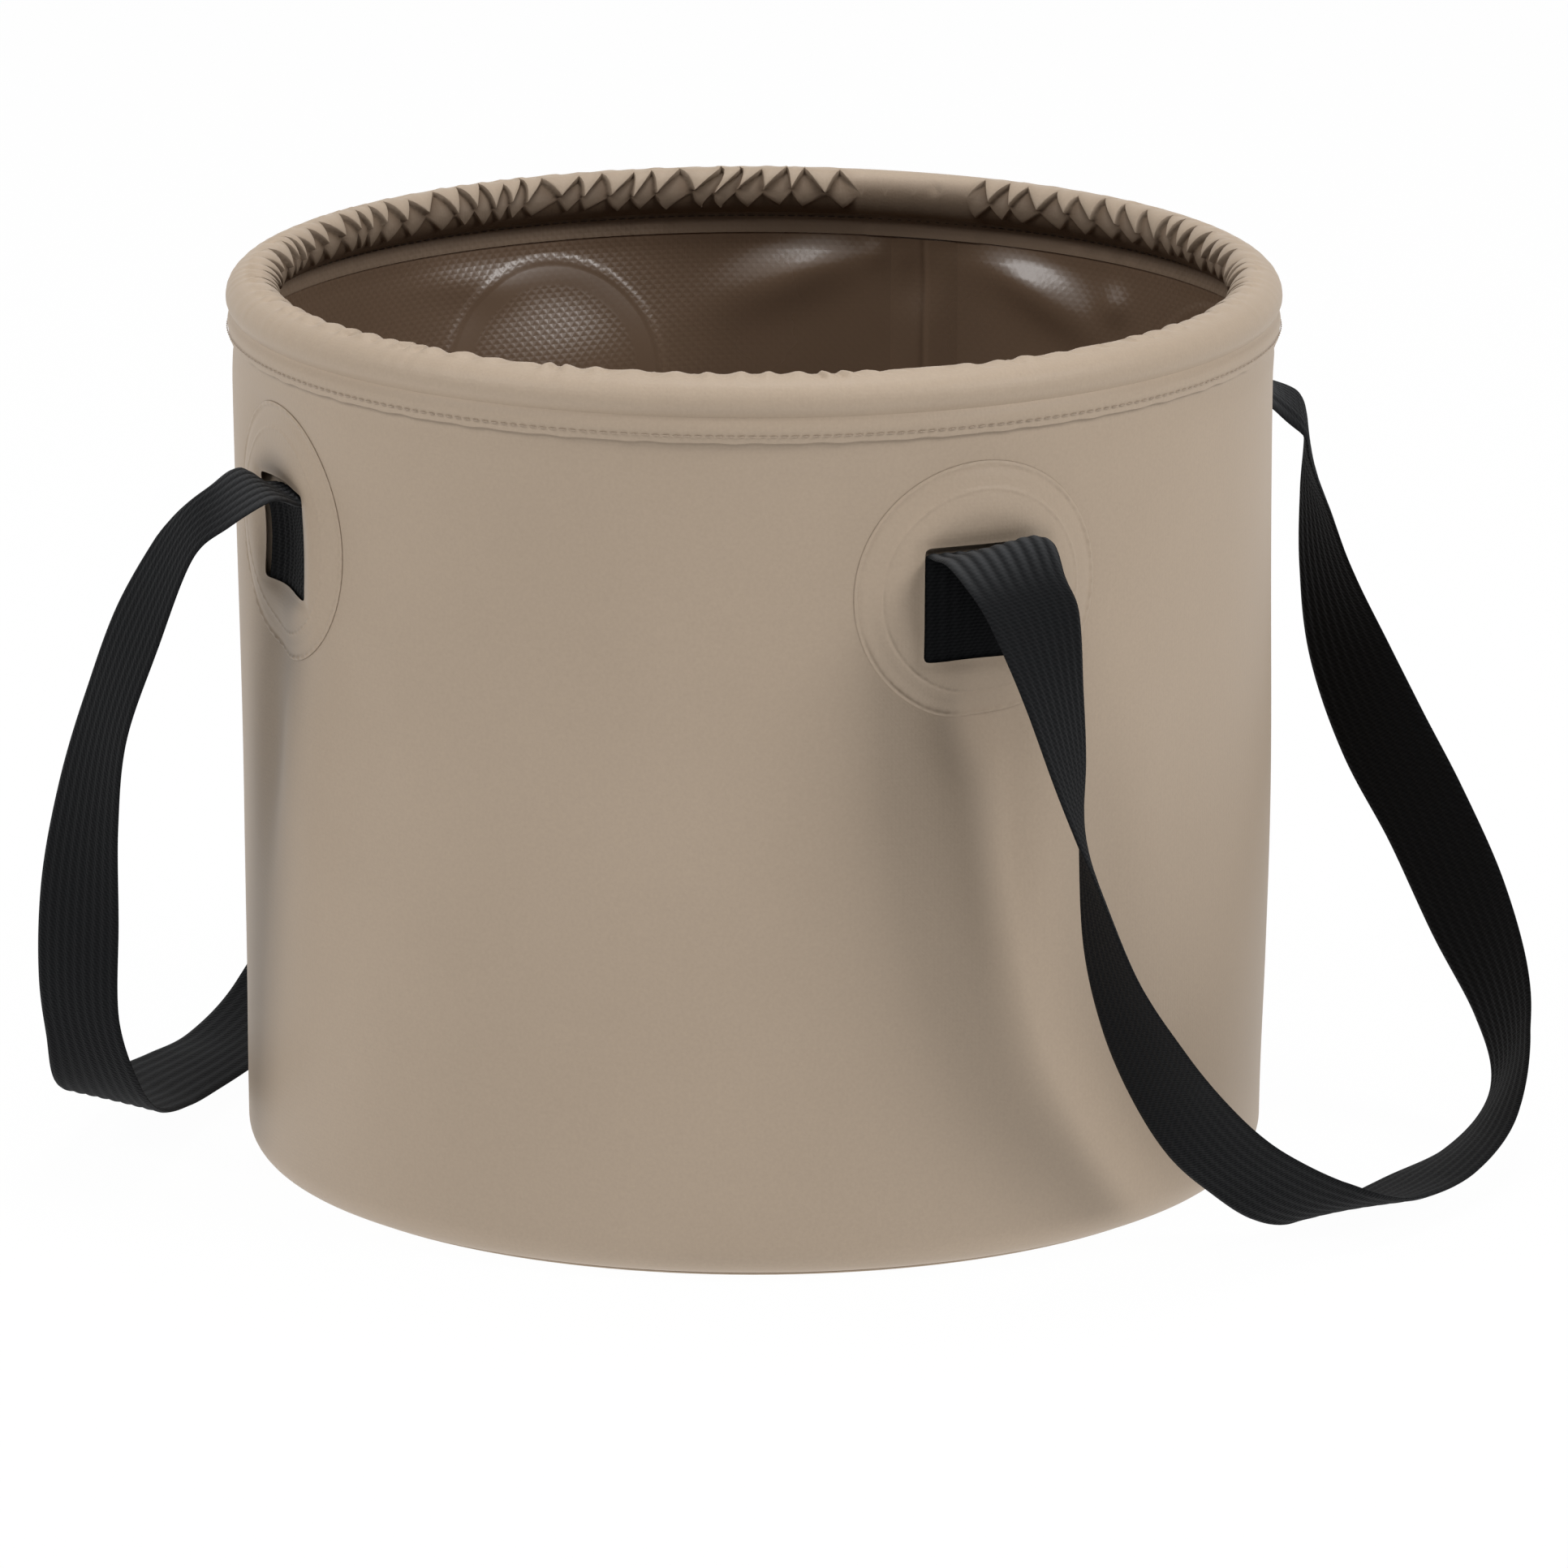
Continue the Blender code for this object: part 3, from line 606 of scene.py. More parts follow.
BASE_RADIUS = FOOT_RADIUS - FOOT_BEND
BASE_ROWS = 60
BASE_COLUMNS = 144
BASE_HOLE = 0.002
BASE_SWELL = 0.0006
BASE_RIPPLE = 0.0005
SWELL_REACH = 0.132

base_turns = 2 * np.pi * np.arange(BASE_COLUMNS + 1) / BASE_COLUMNS
spokes = np.linspace(BASE_HOLE, BASE_RADIUS - FABRIC / 3, BASE_ROWS)
base_radius = np.concatenate((spokes, [BASE_RADIUS, BASE_RADIUS], spokes[::-1]))
base_height = np.concatenate(
    (np.zeros(BASE_ROWS), [FABRIC / 3, 2 * FABRIC / 3], np.full(BASE_ROWS, FABRIC))
)
upper = (base_height == FABRIC)[:, None]
radius_grid, base_turn_grid = np.meshgrid(base_radius, base_turns[:-1], indexing="ij")
ripple = np.sin(2 * base_turn_grid + 30 * radius_grid) * radius_grid / BASE_RADIUS
swell = (BASE_SWELL + BASE_RIPPLE * ripple) * ease((SWELL_REACH - radius_grid) / 0.03) * upper
base_points = around(radius_grid, base_height[:, None] + swell, base_turn_grid)
# The disc is cut a metre further down the roll of cloth, clear of the rings on the wall.
base_cloth = around(base_radius[:, None], 0, base_turns)[..., :2] + (0, 1)
base = surface(
    "base",
    base_points,
    base_cloth,
    (taupe_vinyl, brown_lining),
    row_finish=np.concatenate((np.zeros(BASE_ROWS + 1), np.ones(BASE_ROWS + 1))).astype(int),
)
base.data.polygons[-1].material_index = 1
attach(base, "base")
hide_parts("base_panel")


# Handle patches
#
# Round patches of the same vinyl, welded to the wall in a ring. Their raised middle is a pocket
# for a strap's end, and a window cut in it lets the strap out and shows the brown of its cut edge.

PATCH_RADIUS = 0.0409
PATCH_EDGE = 0.005
POCKET_RADIUS = 0.024
POCKET_SLOPE = 0.016
POCKET_RISE = 0.0030
WINDOW_HALF_WIDTH = 0.0195
WINDOW_FEET = {**dict.fromkeys(PATCH_TURNS, 0.1970), "left_front": 0.1993}
WINDOW_TOP = 0.2334
WINDOW_SQUARENESS = 22
PATCH_COLUMNS = 256
PATCH_ROWS = 56
THINNEST_EDGE = 0.00004
LIP_WIDTH = 0.0034
LIP_TURN_IN = 0.0009
LIP_TURN_UNDER = 0.0002
# Each bead: height, distance from the patch's middle, and width.
PATCH_BEADS = ((0.00042, PATCH_RADIUS - 0.0008, 0.0006), (0.00024, 0.0325, 0.0005))


def patch_lift(away, angle):
    """How far a patch's outer face stands off the wall, by place round the patch's middle.

    The weld thins the edge, with an uneven bead of vinyl squeezed out along it and a fine one
    farther in. The pocket swells out of it in one long slope.
    """
    step = ease((POCKET_RADIUS + POCKET_SLOPE - away) / POCKET_SLOPE)
    rim = ease((PATCH_RADIUS - away) / PATCH_EDGE)
    uneven = 1 + 0.5 * np.sin(23 * angle) * np.sin(37 * angle + 1) + 0.4 * np.sin(61 * angle)
    beads = sum(high * bell(away - radius, width) for high, radius, width in PATCH_BEADS)
    return FABRIC * (0.25 + 0.55 * rim) + CLEARANCE * rim + POCKET_RISE * step + uneven * beads


patch_angles = 2 * np.pi * np.arange(PATCH_COLUMNS + 1) / PATCH_COLUMNS
outward = np.linspace(0, 1, PATCH_ROWS)
outward_grid = np.concatenate((outward, outward[::-1]))[:, None]
outer_skin = np.concatenate((np.ones(PATCH_ROWS), np.zeros(PATCH_ROWS)))[:, None]
patch_finish = np.where(outer_skin[:, 0] == 1, 0, 1)

for corner, middle_turn in PATCH_TURNS.items():
    window_drop = PATCH_HEIGHT - (WINDOW_TOP + WINDOW_FEET[corner]) / 2
    half_height = (WINDOW_TOP - WINDOW_FEET[corner]) / 2
    window_reach = (
        np.abs(np.cos(patch_angles) / WINDOW_HALF_WIDTH) ** WINDOW_SQUARENESS
        + np.abs(np.sin(patch_angles) / half_height) ** WINDOW_SQUARENESS
    ) ** (-1 / WINDOW_SQUARENESS)
    rim_reach = window_drop * np.sin(patch_angles) + np.sqrt(
        PATCH_RADIUS**2 - (window_drop * np.cos(patch_angles)) ** 2
    )
    reach_grid = window_reach + outward_grid * (rim_reach - window_reach)
    patch_cloth = around(reach_grid, 0, patch_angles)[..., :2]
    patch_across = patch_cloth[:, :-1, 0]
    patch_up = patch_cloth[:, :-1, 1] - window_drop
    patch_away = np.hypot(patch_across, patch_up)
    outer_lift = patch_lift(patch_away, patch_angles[:-1])
    inner_lift = np.maximum(outer_lift - FABRIC, CLEARANCE / 2)
    inner_lift = np.minimum(inner_lift, outer_lift - THINNEST_EDGE)
    from_window = outward_grid * (rim_reach - window_reach)[:-1]
    lip = bell(from_window, LIP_WIDTH)
    outer_lift = outer_lift - LIP_TURN_IN * lip
    skin_lift = np.where(outer_skin == 1, outer_lift, inner_lift - LIP_TURN_UNDER * lip)
    patch_cloth = np.concatenate((patch_cloth, patch_cloth[:1]))
    patch_heights = PATCH_HEIGHT + patch_up
    wall_here = wall_radius(patch_heights)
    patch_turns = middle_turn + patch_across / wall_here
    patch_out = wall_here + slack(patch_turns, patch_heights) + skin_lift
    patch = surface(
        "patch_" + corner,
        around(patch_out, patch_heights, patch_turns),
        patch_cloth,
        (taupe_vinyl, brown_lining),
        rows_meet=True,
        row_finish=patch_finish,
    )
    follow_wall(patch)
    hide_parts("handle_patch_" + corner)


# Carry straps
#
# Two lengths of black polyester webbing, 38 mm wide, with nine ribs along each face and a fine
# weft across. Each end is held flat in its patch's pocket, folds out over the window's top, where
# its ribs carry a painted highlight, and comes down. The loop between hangs and twists under its
# own weight.

WEBBING = 0.0018
WEBBING_WIDTH = 0.038
STRAP_REACH = 0.110
FOLD_HEIGHT = 0.2308
FOLD_BEND = 0.0012
FOLD_STAND = 0.0033
SWING_HEIGHT = 0.2135
TAIL_FOOT = 0.1947
FOLD_RADIUS = float(wall_radius(FOLD_HEIGHT)) + FOLD_STAND + 2 * CLEARANCE
FOLD_OUT = FOLD_RADIUS * math.cos(math.radians(45))
RIBS = 9
RIB_RELIEF = 0.2
WEBBING_COLUMNS = 61
ROUTE_STEPS = 24
LOOP_ROWS = 300
BEND_ROWS = 44
LAY_HEIGHT = SWING_HEIGHT - 0.0435
HANG_ROWS = 30
TAIL_ROWS = 30
FOLD_ROWS = 12
EASING_ROWS = 5
CORNER_DROP = 0.004
CORNER_START = 0.24
CORNER_FOOT = 0.2125
CORNER_FADE = 0.018
# The straps' painted highlight: how far it reaches from a fold along the loop and along a tail,
# and its colour.
PAINTED_HIGHLIGHT_REACH = 0.03
PAINTED_HIGHLIGHT_TAIL = 0.004
PAINTED_HIGHLIGHT_COLOUR = (0.075, 0.077, 0.08, 1)

# Each row is a place on the strap: how far along the span between its two windows, how far out
# towards the reach, and how high towards the fold, all as shares, with the way its width points.
RIGHT_ROUTE = (
    (-1, 0, 1, 0.7, 0.7, 0),
    (-1.06, 0.065, 1.014, 0.65, 0.75, 0.19),
    (-1.09, 0.13, 0.974, 0.5, 0.85, 0.08),
    (-1.115, 0.19, 0.925, 0.4, 0.9, 0.03),
    (-1.13, 0.25, 0.83, 0.15, 1, 0),
    (-1.12, 0.295, 0.725, -0.1, 1, 0.1),
    (-1.09, 0.33, 0.613, -0.4, 0.9, 0.1),
    (-1.03, 0.38, 0.46, -0.7, 0.7, 0.1),
    (-0.93, 0.445, 0.34, -0.9, 0.5, 0),
    (-0.79, 0.51, 0.235, -0.95, 0.3, -0.1),
    (-0.66, 0.58, 0.155, -0.95, 0.2, -0.25),
    (-0.54, 0.66, 0.1, -0.95, 0.15, -0.34),
    (-0.43, 0.735, 0.06, -0.92, 0.08, -0.38),
    (-0.31, 0.81, 0.037, -0.93, -0.05, -0.28),
    (-0.14, 0.875, 0.027, -0.92, 0.1, -0.22),
    (0.12, 0.935, 0.028, -0.84, 0.3, -0.22),
    (0.42, 0.99, 0.052, -0.65, 0.5, -0.4),
    (0.67, 1.0, 0.114, -0.5, 0.6, -0.6),
    (0.8, 0.93, 0.2, -0.6, 0.5, -0.6),
    (0.92, 0.78, 0.305, -0.7, 0.3, -0.6),
    (1.01, 0.62, 0.418, -0.75, 0.3, -0.6),
    (1.075, 0.465, 0.52, -0.8, 0.3, -0.55),
    (1.12, 0.34, 0.63, -0.8, 0.45, -0.4),
    (1.135, 0.265, 0.74, -0.7, 0.7, -0.2),
    (1.135, 0.23, 0.835, -0.55, 0.85, 0),
    (1.12, 0.21, 0.92, -0.35, 0.95, 0.1),
    (1.1, 0.185, 0.975, -0.4, 0.9, 0.15),
    (1.06, 0.065, 1.01, -0.65, 0.75, 0),
    (1, 0, 1, -0.7, 0.7, 0),
)
LEFT_ROUTE = (
    (-0.98, -0.03, 1, 0.7, -0.7, 0),
    (-1.035, 0.02, 1.018, 0.65, -0.75, -0.12),
    (-1.075, 0.1, 0.993, 0.5, -0.86, -0.22),
    (-1.105, 0.205, 0.945, 0.5, -0.85, -0.2),
    (-1.135, 0.33, 0.82, 0.64, -0.74, -0.2),
    (-1.135, 0.435, 0.687, 0.66, -0.72, -0.2),
    (-1.12, 0.5, 0.557, 0.78, -0.6, -0.2),
    (-1.09, 0.545, 0.415, 0.88, -0.44, -0.2),
    (-1.04, 0.575, 0.27, 0.9, -0.4, -0.22),
    (-0.94, 0.575, 0.16, 0.93, -0.26, -0.18),
    (-0.76, 0.605, 0.09, 0.98, -0.1, -0.1),
    (-0.5, 0.645, 0.058, 0.98, 0, -0.1),
    (-0.25, 0.665, 0.045, 1, 0, -0.08),
    (0, 0.66, 0.04, 1, 0, 0),
    (0.25, 0.645, 0.045, 1, 0, 0.1),
    (0.52, 0.61, 0.08, 0.97, 0.1, 0.05),
    (0.77, 0.57, 0.16, 0.9, 0.3, -0.1),
    (0.95, 0.535, 0.31, 0.88, 0.42, -0.2),
    (1.06, 0.48, 0.45, 0.8, 0.55, -0.2),
    (1.11, 0.42, 0.595, 0.7, 0.65, -0.2),
    (1.125, 0.335, 0.735, 0.66, 0.72, -0.2),
    (1.12, 0.245, 0.865, 0.6, 0.8, -0.1),
    (1.09, 0.155, 0.965, 0.6, 0.8, 0),
    (1.06, 0.065, 1.01, 0.65, 0.75, 0),
    (1, 0, 1, 0.7, 0.7, 0),
)


def smooth_curve(points, steps):
    """Curve through the points, with the given steps between neighbours.

    Between two points it is the cubic that leaves and arrives at half the difference of the
    points on either side.
    """
    points = np.array(points, dtype=float)
    padded = np.vstack((2 * points[0] - points[1], points, 2 * points[-1] - points[-2]))
    before, here, there, after = (padded[k : len(padded) - 3 + k, None] for k in range(4))
    s = (np.arange(steps) / steps)[None, :, None]
    curve = (
        here
        + 0.5 * s * (there - before)
        + 0.5 * s**2 * (2 * before - 5 * here + 4 * there - after)
        + 0.5 * s**3 * (3 * here - before - 3 * there + after)
    )
    return np.vstack((curve.reshape(-1, points.shape[1]), points[-1:]))


def strap_route(side, route):
    """Middle, width direction, thickness direction and length at close stations of a strap."""
    along, out, up, *ways = np.transpose(route)
    places = (side * (FOLD_OUT + out * STRAP_REACH), along * FOLD_OUT, up * FOLD_HEIGHT)
    middle = smooth_curve(np.transpose(places), ROUTE_STEPS)
    across = smooth_curve(np.transpose(ways), ROUTE_STEPS)
    ahead = np.gradient(middle, axis=0)
    ahead /= np.linalg.norm(ahead, axis=1)[:, None]
    across -= np.sum(across * ahead, axis=1)[:, None] * ahead
    across /= np.linalg.norm(across, axis=1)[:, None]
    return middle, across, np.cross(ahead, across), lengths_along(middle)


webbing_shares = np.linspace(-0.4975, 0.4975, WEBBING_COLUMNS)
ribs = 1 - RIB_RELIEF + RIB_RELIEF * np.cos(2 * np.pi * RIBS * webbing_shares)
selvedge = np.sqrt(1 - np.abs(2 * webbing_shares) ** 14)
half_thickness = WEBBING / 2 * ribs * selvedge
loop_shares = np.concatenate((webbing_shares, webbing_shares[::-1]))
loop_widths = WEBBING_WIDTH * loop_shares
loop_halves = np.concatenate((half_thickness, -half_thickness[::-1]))


def at_stations(table, stations):
    """Values of a table of stations, each column at its own stations in between."""
    rows = np.arange(len(table))
    return np.stack([np.interp(stations, rows, part) for part in table.T], axis=-1)


def let_corner_down(points, edge):
    """Lowers one edge of a strap where it turns over the window's top and the pull bends it."""
    beyond = np.clip((edge * loop_shares - CORNER_START) / (0.5 - CORNER_START), 0, 1) ** 2
    points[..., 2] -= CORNER_DROP * beyond * ease((points[..., 2] - CORNER_FOOT) / CORNER_FADE)
    return points


def webbing_finish(name):
    """Black polyester webbing: fine weft across, twill down the ribs, a painted highlight near
    folds.
    """
    material, tree = new_finish(name)
    weft = sine_ridges(place_on_cloth(tree), 1, 0.0011)
    twill = sine_ridges(place_on_cloth(tree, degrees=38), 0, 0.0016)
    fuzz = clouds(place_on_cloth(tree), 2200, 3)
    weave = reckon("ADD", reckon("ADD", weft, twill), fuzz)
    yarn = spread(weave, 0, 1, -2, 3)
    colour = tint(yarn, (0.0032, 0.0034, 0.0038, 1), (0.0104, 0.0108, 0.0117, 1))
    pitch = WEBBING_WIDTH / RIBS
    ridges = sine_ridges(place_on_cloth(tree, shift=pitch / 4), 0, pitch)
    # Painted highlight: near each fold the ridges of the ribs are painted pale, standing in for
    # the light the crest catches from above.
    painted_highlight = node(tree, "ShaderNodeAttribute", attribute_name="painted_highlight").outputs["Fac"]
    highlighted_ridges = reckon("MULTIPLY", painted_highlight, spread(ridges, 0.2, 1, -1, 1))
    colour = tint(highlighted_ridges, colour, PAINTED_HIGHLIGHT_COLOUR)
    return shade(material, colour, spread(fuzz, 0.55, 0.8), raised(weave, 0.35, 0.0002), 0.05)


black_webbing = webbing_finish("black_webbing")


def webbing(name, points, cloth, from_fold, reach):
    """A length of webbing, its painted highlight falling from 1 at its fold to 0 at the reach, in
    metres.
    """
    piece = surface(name, points, cloth, (black_webbing,))
    # The painted highlight goes on the piece as an attribute of its points, for its material to
    # read.
    painted_highlight = ease(1 - from_fold / reach)
    piece.data.attributes.new("painted_highlight", "FLOAT", "POINT").data.foreach_set("value", painted_highlight.ravel())
    return piece


def webbing_piece(name, route, starts, ends, rows, edge):
    """Webbing between two lines of stations across it, one start and one end for each column."""
    middle, across, thick, length = route
    stations = starts + (ends - starts) * np.linspace(0, 1, rows)[:, None]
    points = (
        at_stations(middle, stations)
        + at_stations(across, stations) * loop_widths[:, None]
        + at_stations(thick, stations) * loop_halves[:, None]
    )
    along = np.interp(stations, np.arange(len(length)), length)
    places = np.stack((np.broadcast_to(loop_widths, along.shape), along), axis=-1)
    places = np.concatenate((places, places[:, :1]), axis=1)
    from_fold = np.minimum(along, length[-1] - along)
    return webbing(name, let_corner_down(points, edge), places, from_fold, PAINTED_HIGHLIGHT_REACH)


def tail_piece(name, middle_turn, route, station, edge):
    """The strap's end in its pocket, up the wall and bent out over the window's top to a station.

    Up to the bend it is curved with the wall. Past the bend it eases into the flat station.
    """
    middle, across, thick, length = (table[station] for table in route)
    flip = 1 if across @ (-math.sin(middle_turn), math.cos(middle_turn), 0) > 0 else -1
    upper = 1 if thick[2] > 0 else -1
    start = FOLD_HEIGHT - FOLD_BEND
    heights = np.append(np.linspace(TAIL_FOOT, start, TAIL_ROWS), np.full(FOLD_ROWS, start))
    turned = np.radians(np.linspace(0, 90, FOLD_ROWS + 1)[1:])
    angles = np.append(np.zeros(TAIL_ROWS), turned)
    heights, angles = heights[:, None], angles[:, None]
    radius = wall_radius(heights) + 2 * CLEARANCE + WEBBING / 2
    turns = middle_turn + flip * loop_widths / radius
    out = radius + slack(turns, heights) + FOLD_BEND * (1 - np.cos(angles))
    out = out - upper * loop_halves * np.cos(angles)
    rise = heights + FOLD_BEND * np.sin(angles) + upper * loop_halves * np.sin(angles)
    bent = around(out, rise, turns)
    flat = middle + across * loop_widths[:, None] + thick * loop_halves[:, None]
    easing = np.linspace(0, 1, EASING_ROWS + 1)[1:, None, None]
    points = np.concatenate((bent, bent[-1] + (flat - bent[-1]) * easing))
    points = let_corner_down(points, edge)
    along = lengths_along(points[:, WEBBING_COLUMNS // 2]) + length
    places = cloth_places(along, np.append(loop_widths, loop_widths[0]))
    from_fold = np.broadcast_to((along[-1] - along)[:, None], points.shape[:2])
    return webbing(name, points, places, from_fold, PAINTED_HIGHLIGHT_TAIL)


def first_below(heights, level):
    """For each column, the station where it first comes down past the level."""
    late = 3 * ROUTE_STEPS // 2
    after = late + np.argmax(heights[late:] < level, axis=0)
    columns = np.arange(heights.shape[1])
    above, below = heights[after - 1, columns], heights[after, columns]
    return after - 1 + (above - level) / (above - below)


for side_name, side, route_table in (("right", 1, RIGHT_ROUTE), ("left", -1, LEFT_ROUTE)):
    route = strap_route(side, route_table)
    middle, across = route[:2]
    heights = middle[:, 2:] + across[:, 2:] * loop_widths
    last = len(middle) - 1
    front_swing = first_below(heights, SWING_HEIGHT)
    front_laid = first_below(heights, LAY_HEIGHT)
    back_swing = last - first_below(heights[::-1], SWING_HEIGHT)
    back_laid = last - first_below(heights[::-1], LAY_HEIGHT)
    body = "handle_" + side_name
    whole = np.zeros(len(loop_shares))
    spans = {
        "front": (whole, front_swing, front_swing, front_laid, 0),
        "back": (back_swing, whole + last, back_laid, back_swing, last),
    }
    for end, (start, stop, hang_start, hang_stop, station) in spans.items():
        corner = side_name + "_" + end
        towards_other_end = middle[last - station] - middle[station]
        edge = 1 if across[station] @ towards_other_end > 0 else -1
        tail = tail_piece("strap_tail_" + corner, PATCH_TURNS[corner], route, station, edge)
        follow_wall(tail)
        bend = webbing_piece("strap_bend_" + corner, route, start, stop, BEND_ROWS, edge)
        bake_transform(bend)
        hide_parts("strap_end_" + corner)
        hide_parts("strap_end_" + corner)
        hang = webbing_piece("strap_hang_" + corner, route, hang_start, hang_stop, HANG_ROWS, 0)
        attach(hang, body)
        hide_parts("handle_strap_" + side_name)
    # With the rim down, each end still hangs as far as the floor and the rest lies on it.
    loop = webbing_piece("strap_loop_" + side_name, route, front_laid, back_laid, LOOP_ROWS, 0)
    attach(loop, body)
    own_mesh(loop)
    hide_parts("handle_strap_" + side_name)


# Rim sleeve
#
# A strip of the same vinyl, folded over the hoop and sewn to the wall through both legs. Cut to
# the roll's outer girth, it has too much cloth for the inner one, and buckles there into two rows
# of pleats. Its two ends overlap flat over the seam. Painted shade darkens the pleats' hollows and
# creases and the roll's inner side.

HOOP_RADIUS = 0.0058
ROLL_RADIUS = 0.0075
RIM_RADIUS = 0.1597
RIM_HEIGHT = 0.2796
OUTER_FACE = MOUTH_RADIUS + CLEARANCE + FABRIC
INNER_FACE = MOUTH_RADIUS - 2 * FABRIC - CLEARANCE
INNER_HEM = HEM_HEIGHT - 0.0034
PLEATS = 104
PLEAT_COLUMNS = 10
PLEAT_SCATTER = 0.42
PLEAT_PITCH = 2 * math.pi / PLEATS
LAP_TURN = math.radians(7)
LAP_FADE = math.radians(1.8)
LAP_STEP = 0.0004
LAP_DENT_TURN = math.radians(87.3)
LAP_DENT_WIDTH = 0.0018
LAP_DENT_DEPTH = 0.0008
BOTTOM_CORNER = math.radians(250)
LEAST_DIAMOND = math.radians(4)
RIDGE_STEP = math.radians(9)
SMOOTH_ROWS = 17
UPPER_ROWS = 8
HOLLOW_ROWS = 12
LOWER_ROWS = 10
CLOSING_ROWS = 3
LEG_ROWS = 13
BACK_ROWS = 13
ROWS_CROWDING = 1.4
UPPER_CROWN = 0.0003
# How much painted shade the upper facets reach at their foot.
UPPER_PAINTED_SHADE = 0.22
LEG_SWELL = 0.0005
STITCH_HEIGHT = HEM_HEIGHT + 0.0022
# The nips reach as many rows into the roll. Each nip: depth, height and width.
NIPPED_ROWS = 6
SLEEVE_NIPS = ((0.0007, 0.2758, 0.0018), (0.00015, STITCH_HEIGHT, 0.0008))
# Each corner in degrees and each rise in millimetres: at a valley, at a tip, and its scatter.
TOP_CORNER = (94, 99, 4)
HIGH_CORNER = (113, 168, 8)
LOW_CORNER = (208, 173, 6)
TOP_RISE = (-0.35, 1.3, 0.45)
HIGH_RISE = (1.1, 2.4, 0.3)
LOW_RISE = (0.8, 0.8, 0.3)
HOOP_SKIN = HOOP_RADIUS + FABRIC + 0.0002

chance = np.random.default_rng(11)
pleat_widths = 1 + PLEAT_SCATTER * chance.uniform(-1, 1, PLEATS)
pleat_edges = np.concatenate(([0], np.cumsum(pleat_widths)))
pleat_edges *= 2 * math.pi / pleat_edges[-1]
knot_turns = np.empty(2 * PLEATS + 1)
knot_turns[::2] = pleat_edges
knot_turns[1::2] = pleat_edges[:-1] + np.diff(pleat_edges) * chance.uniform(0.38, 0.62, PLEATS)
knots = np.arange(2 * PLEATS + 1)
is_tip = knots % 2
sleeve_knots = np.arange(PLEATS * PLEAT_COLUMNS + 1) / (PLEAT_COLUMNS / 2)
soft_knots = np.floor(sleeve_knots) + ease(sleeve_knots % 1)
sleeve_turns = np.interp(sleeve_knots, knots, knot_turns)


def at_knots(edge, tip, scatter, seed):
    """One value a knot, edge and tip by turns, each with its own chance scatter, closed round."""
    strays = np.random.default_rng(seed).uniform(-1, 1, len(knots))
    values = np.where(is_tip == 1, tip, edge) + scatter * strays
    values[-1] = values[0]
    return values


def round_the_rim(values, places=sleeve_knots):
    """Knot values carried to the sleeve's columns, evenly or, on soft places, in round waves."""
    return np.interp(places, knots, values)


def shares_past(rows):
    """Shares of the way from one corner to the next, without the corner it starts from."""
    return np.linspace(0, 1, rows + 1)[1:, None]


def leg_angle(face, radius):
    """Angle round the roll at which a leg of the given radius leaves it."""
    return -math.acos((face - RIM_RADIUS) / radius)


# Angles go round the roll's section, from 0 outwards through 90 on top to 180 towards the axis.
# A ridge zigzags down from each valley's top to the next tip, and another from its foot up to it.
# On top the gathers are puffed up most at the front.
gathered = ease((np.abs(turn_apart(sleeve_turns, TAPE_TURN)) - LAP_TURN) / LAP_FADE)
top_corner = np.radians(round_the_rim(at_knots(*TOP_CORNER, 1)))
high_corner = np.radians(round_the_rim(at_knots(*HIGH_CORNER, 2)))
low_corner = np.radians(round_the_rim(at_knots(*LOW_CORNER, 3)))
low_corner = np.maximum(low_corner, high_corner + LEAST_DIAMOND)
puffed = 0.7 - 0.4 * np.sin(sleeve_turns)
top_radius = 0.001 * round_the_rim(at_knots(*TOP_RISE, 4), soft_knots)
top_radius = ROLL_RADIUS + top_radius * puffed
high_radius = ROLL_RADIUS + 0.001 * round_the_rim(at_knots(*HIGH_RISE, 5))
low_radius = ROLL_RADIUS + 0.001 * round_the_rim(at_knots(*LOW_RISE, 6))

roll_start = leg_angle(OUTER_FACE, ROLL_RADIUS)
roll_end = leg_angle(INNER_FACE, ROLL_RADIUS) + 2 * math.pi
share = np.linspace(0, 1, SMOOTH_ROWS)[:, None]
smooth_angles = roll_start + (top_corner - roll_start) * share
swell = ease((smooth_angles - 1.3) / 0.4) + 0.1 * ease((smooth_angles + 0.1) / 0.6)
smooth_radii = ROLL_RADIUS + (top_radius - ROLL_RADIUS) * np.minimum(swell, 1)

share = shares_past(UPPER_ROWS)
upper_angles = top_corner + (high_corner - top_corner) * share
upper_radii = top_radius + (high_radius - top_radius) * share + UPPER_CROWN * np.sin(np.pi * share)
upper_painted_shade = UPPER_PAINTED_SHADE * share + 0 * upper_angles

# Under the upper ridge the cloth steps in to the hoop, and comes out slowly towards the lower one.
share = shares_past(HOLLOW_ROWS) ** ROWS_CROWDING
middle_angles = high_corner + (low_corner - high_corner) * share
floor_radii = HOOP_SKIN + (low_radius - HOOP_SKIN) * ease((middle_angles - 2.0) / 1.7)
step_angle = np.minimum(RIDGE_STEP, 0.7 * (low_corner - high_corner))
stepped = ease((middle_angles - high_corner) / step_angle)
middle_radii = high_radius + (floor_radii - high_radius) * stepped

# Under the lower ridge it is drawn tight against the hoop.
share = shares_past(LOWER_ROWS) ** ROWS_CROWDING
lower_angles = low_corner + (BOTTOM_CORNER - low_corner) * share
lower_step = ease((lower_angles - low_corner) / RIDGE_STEP)
drawn_in = HOOP_SKIN + 0.0001
lower_radii = middle_radii[-1] + (drawn_in - middle_radii[-1]) * lower_step
lower_radii = lower_radii + (ROLL_RADIUS - drawn_in) * ease((share - 0.8) / 0.2)
share = shares_past(CLOSING_ROWS)
closing_angles = BOTTOM_CORNER + (roll_end - BOTTOM_CORNER) * share + 0 * sleeve_turns
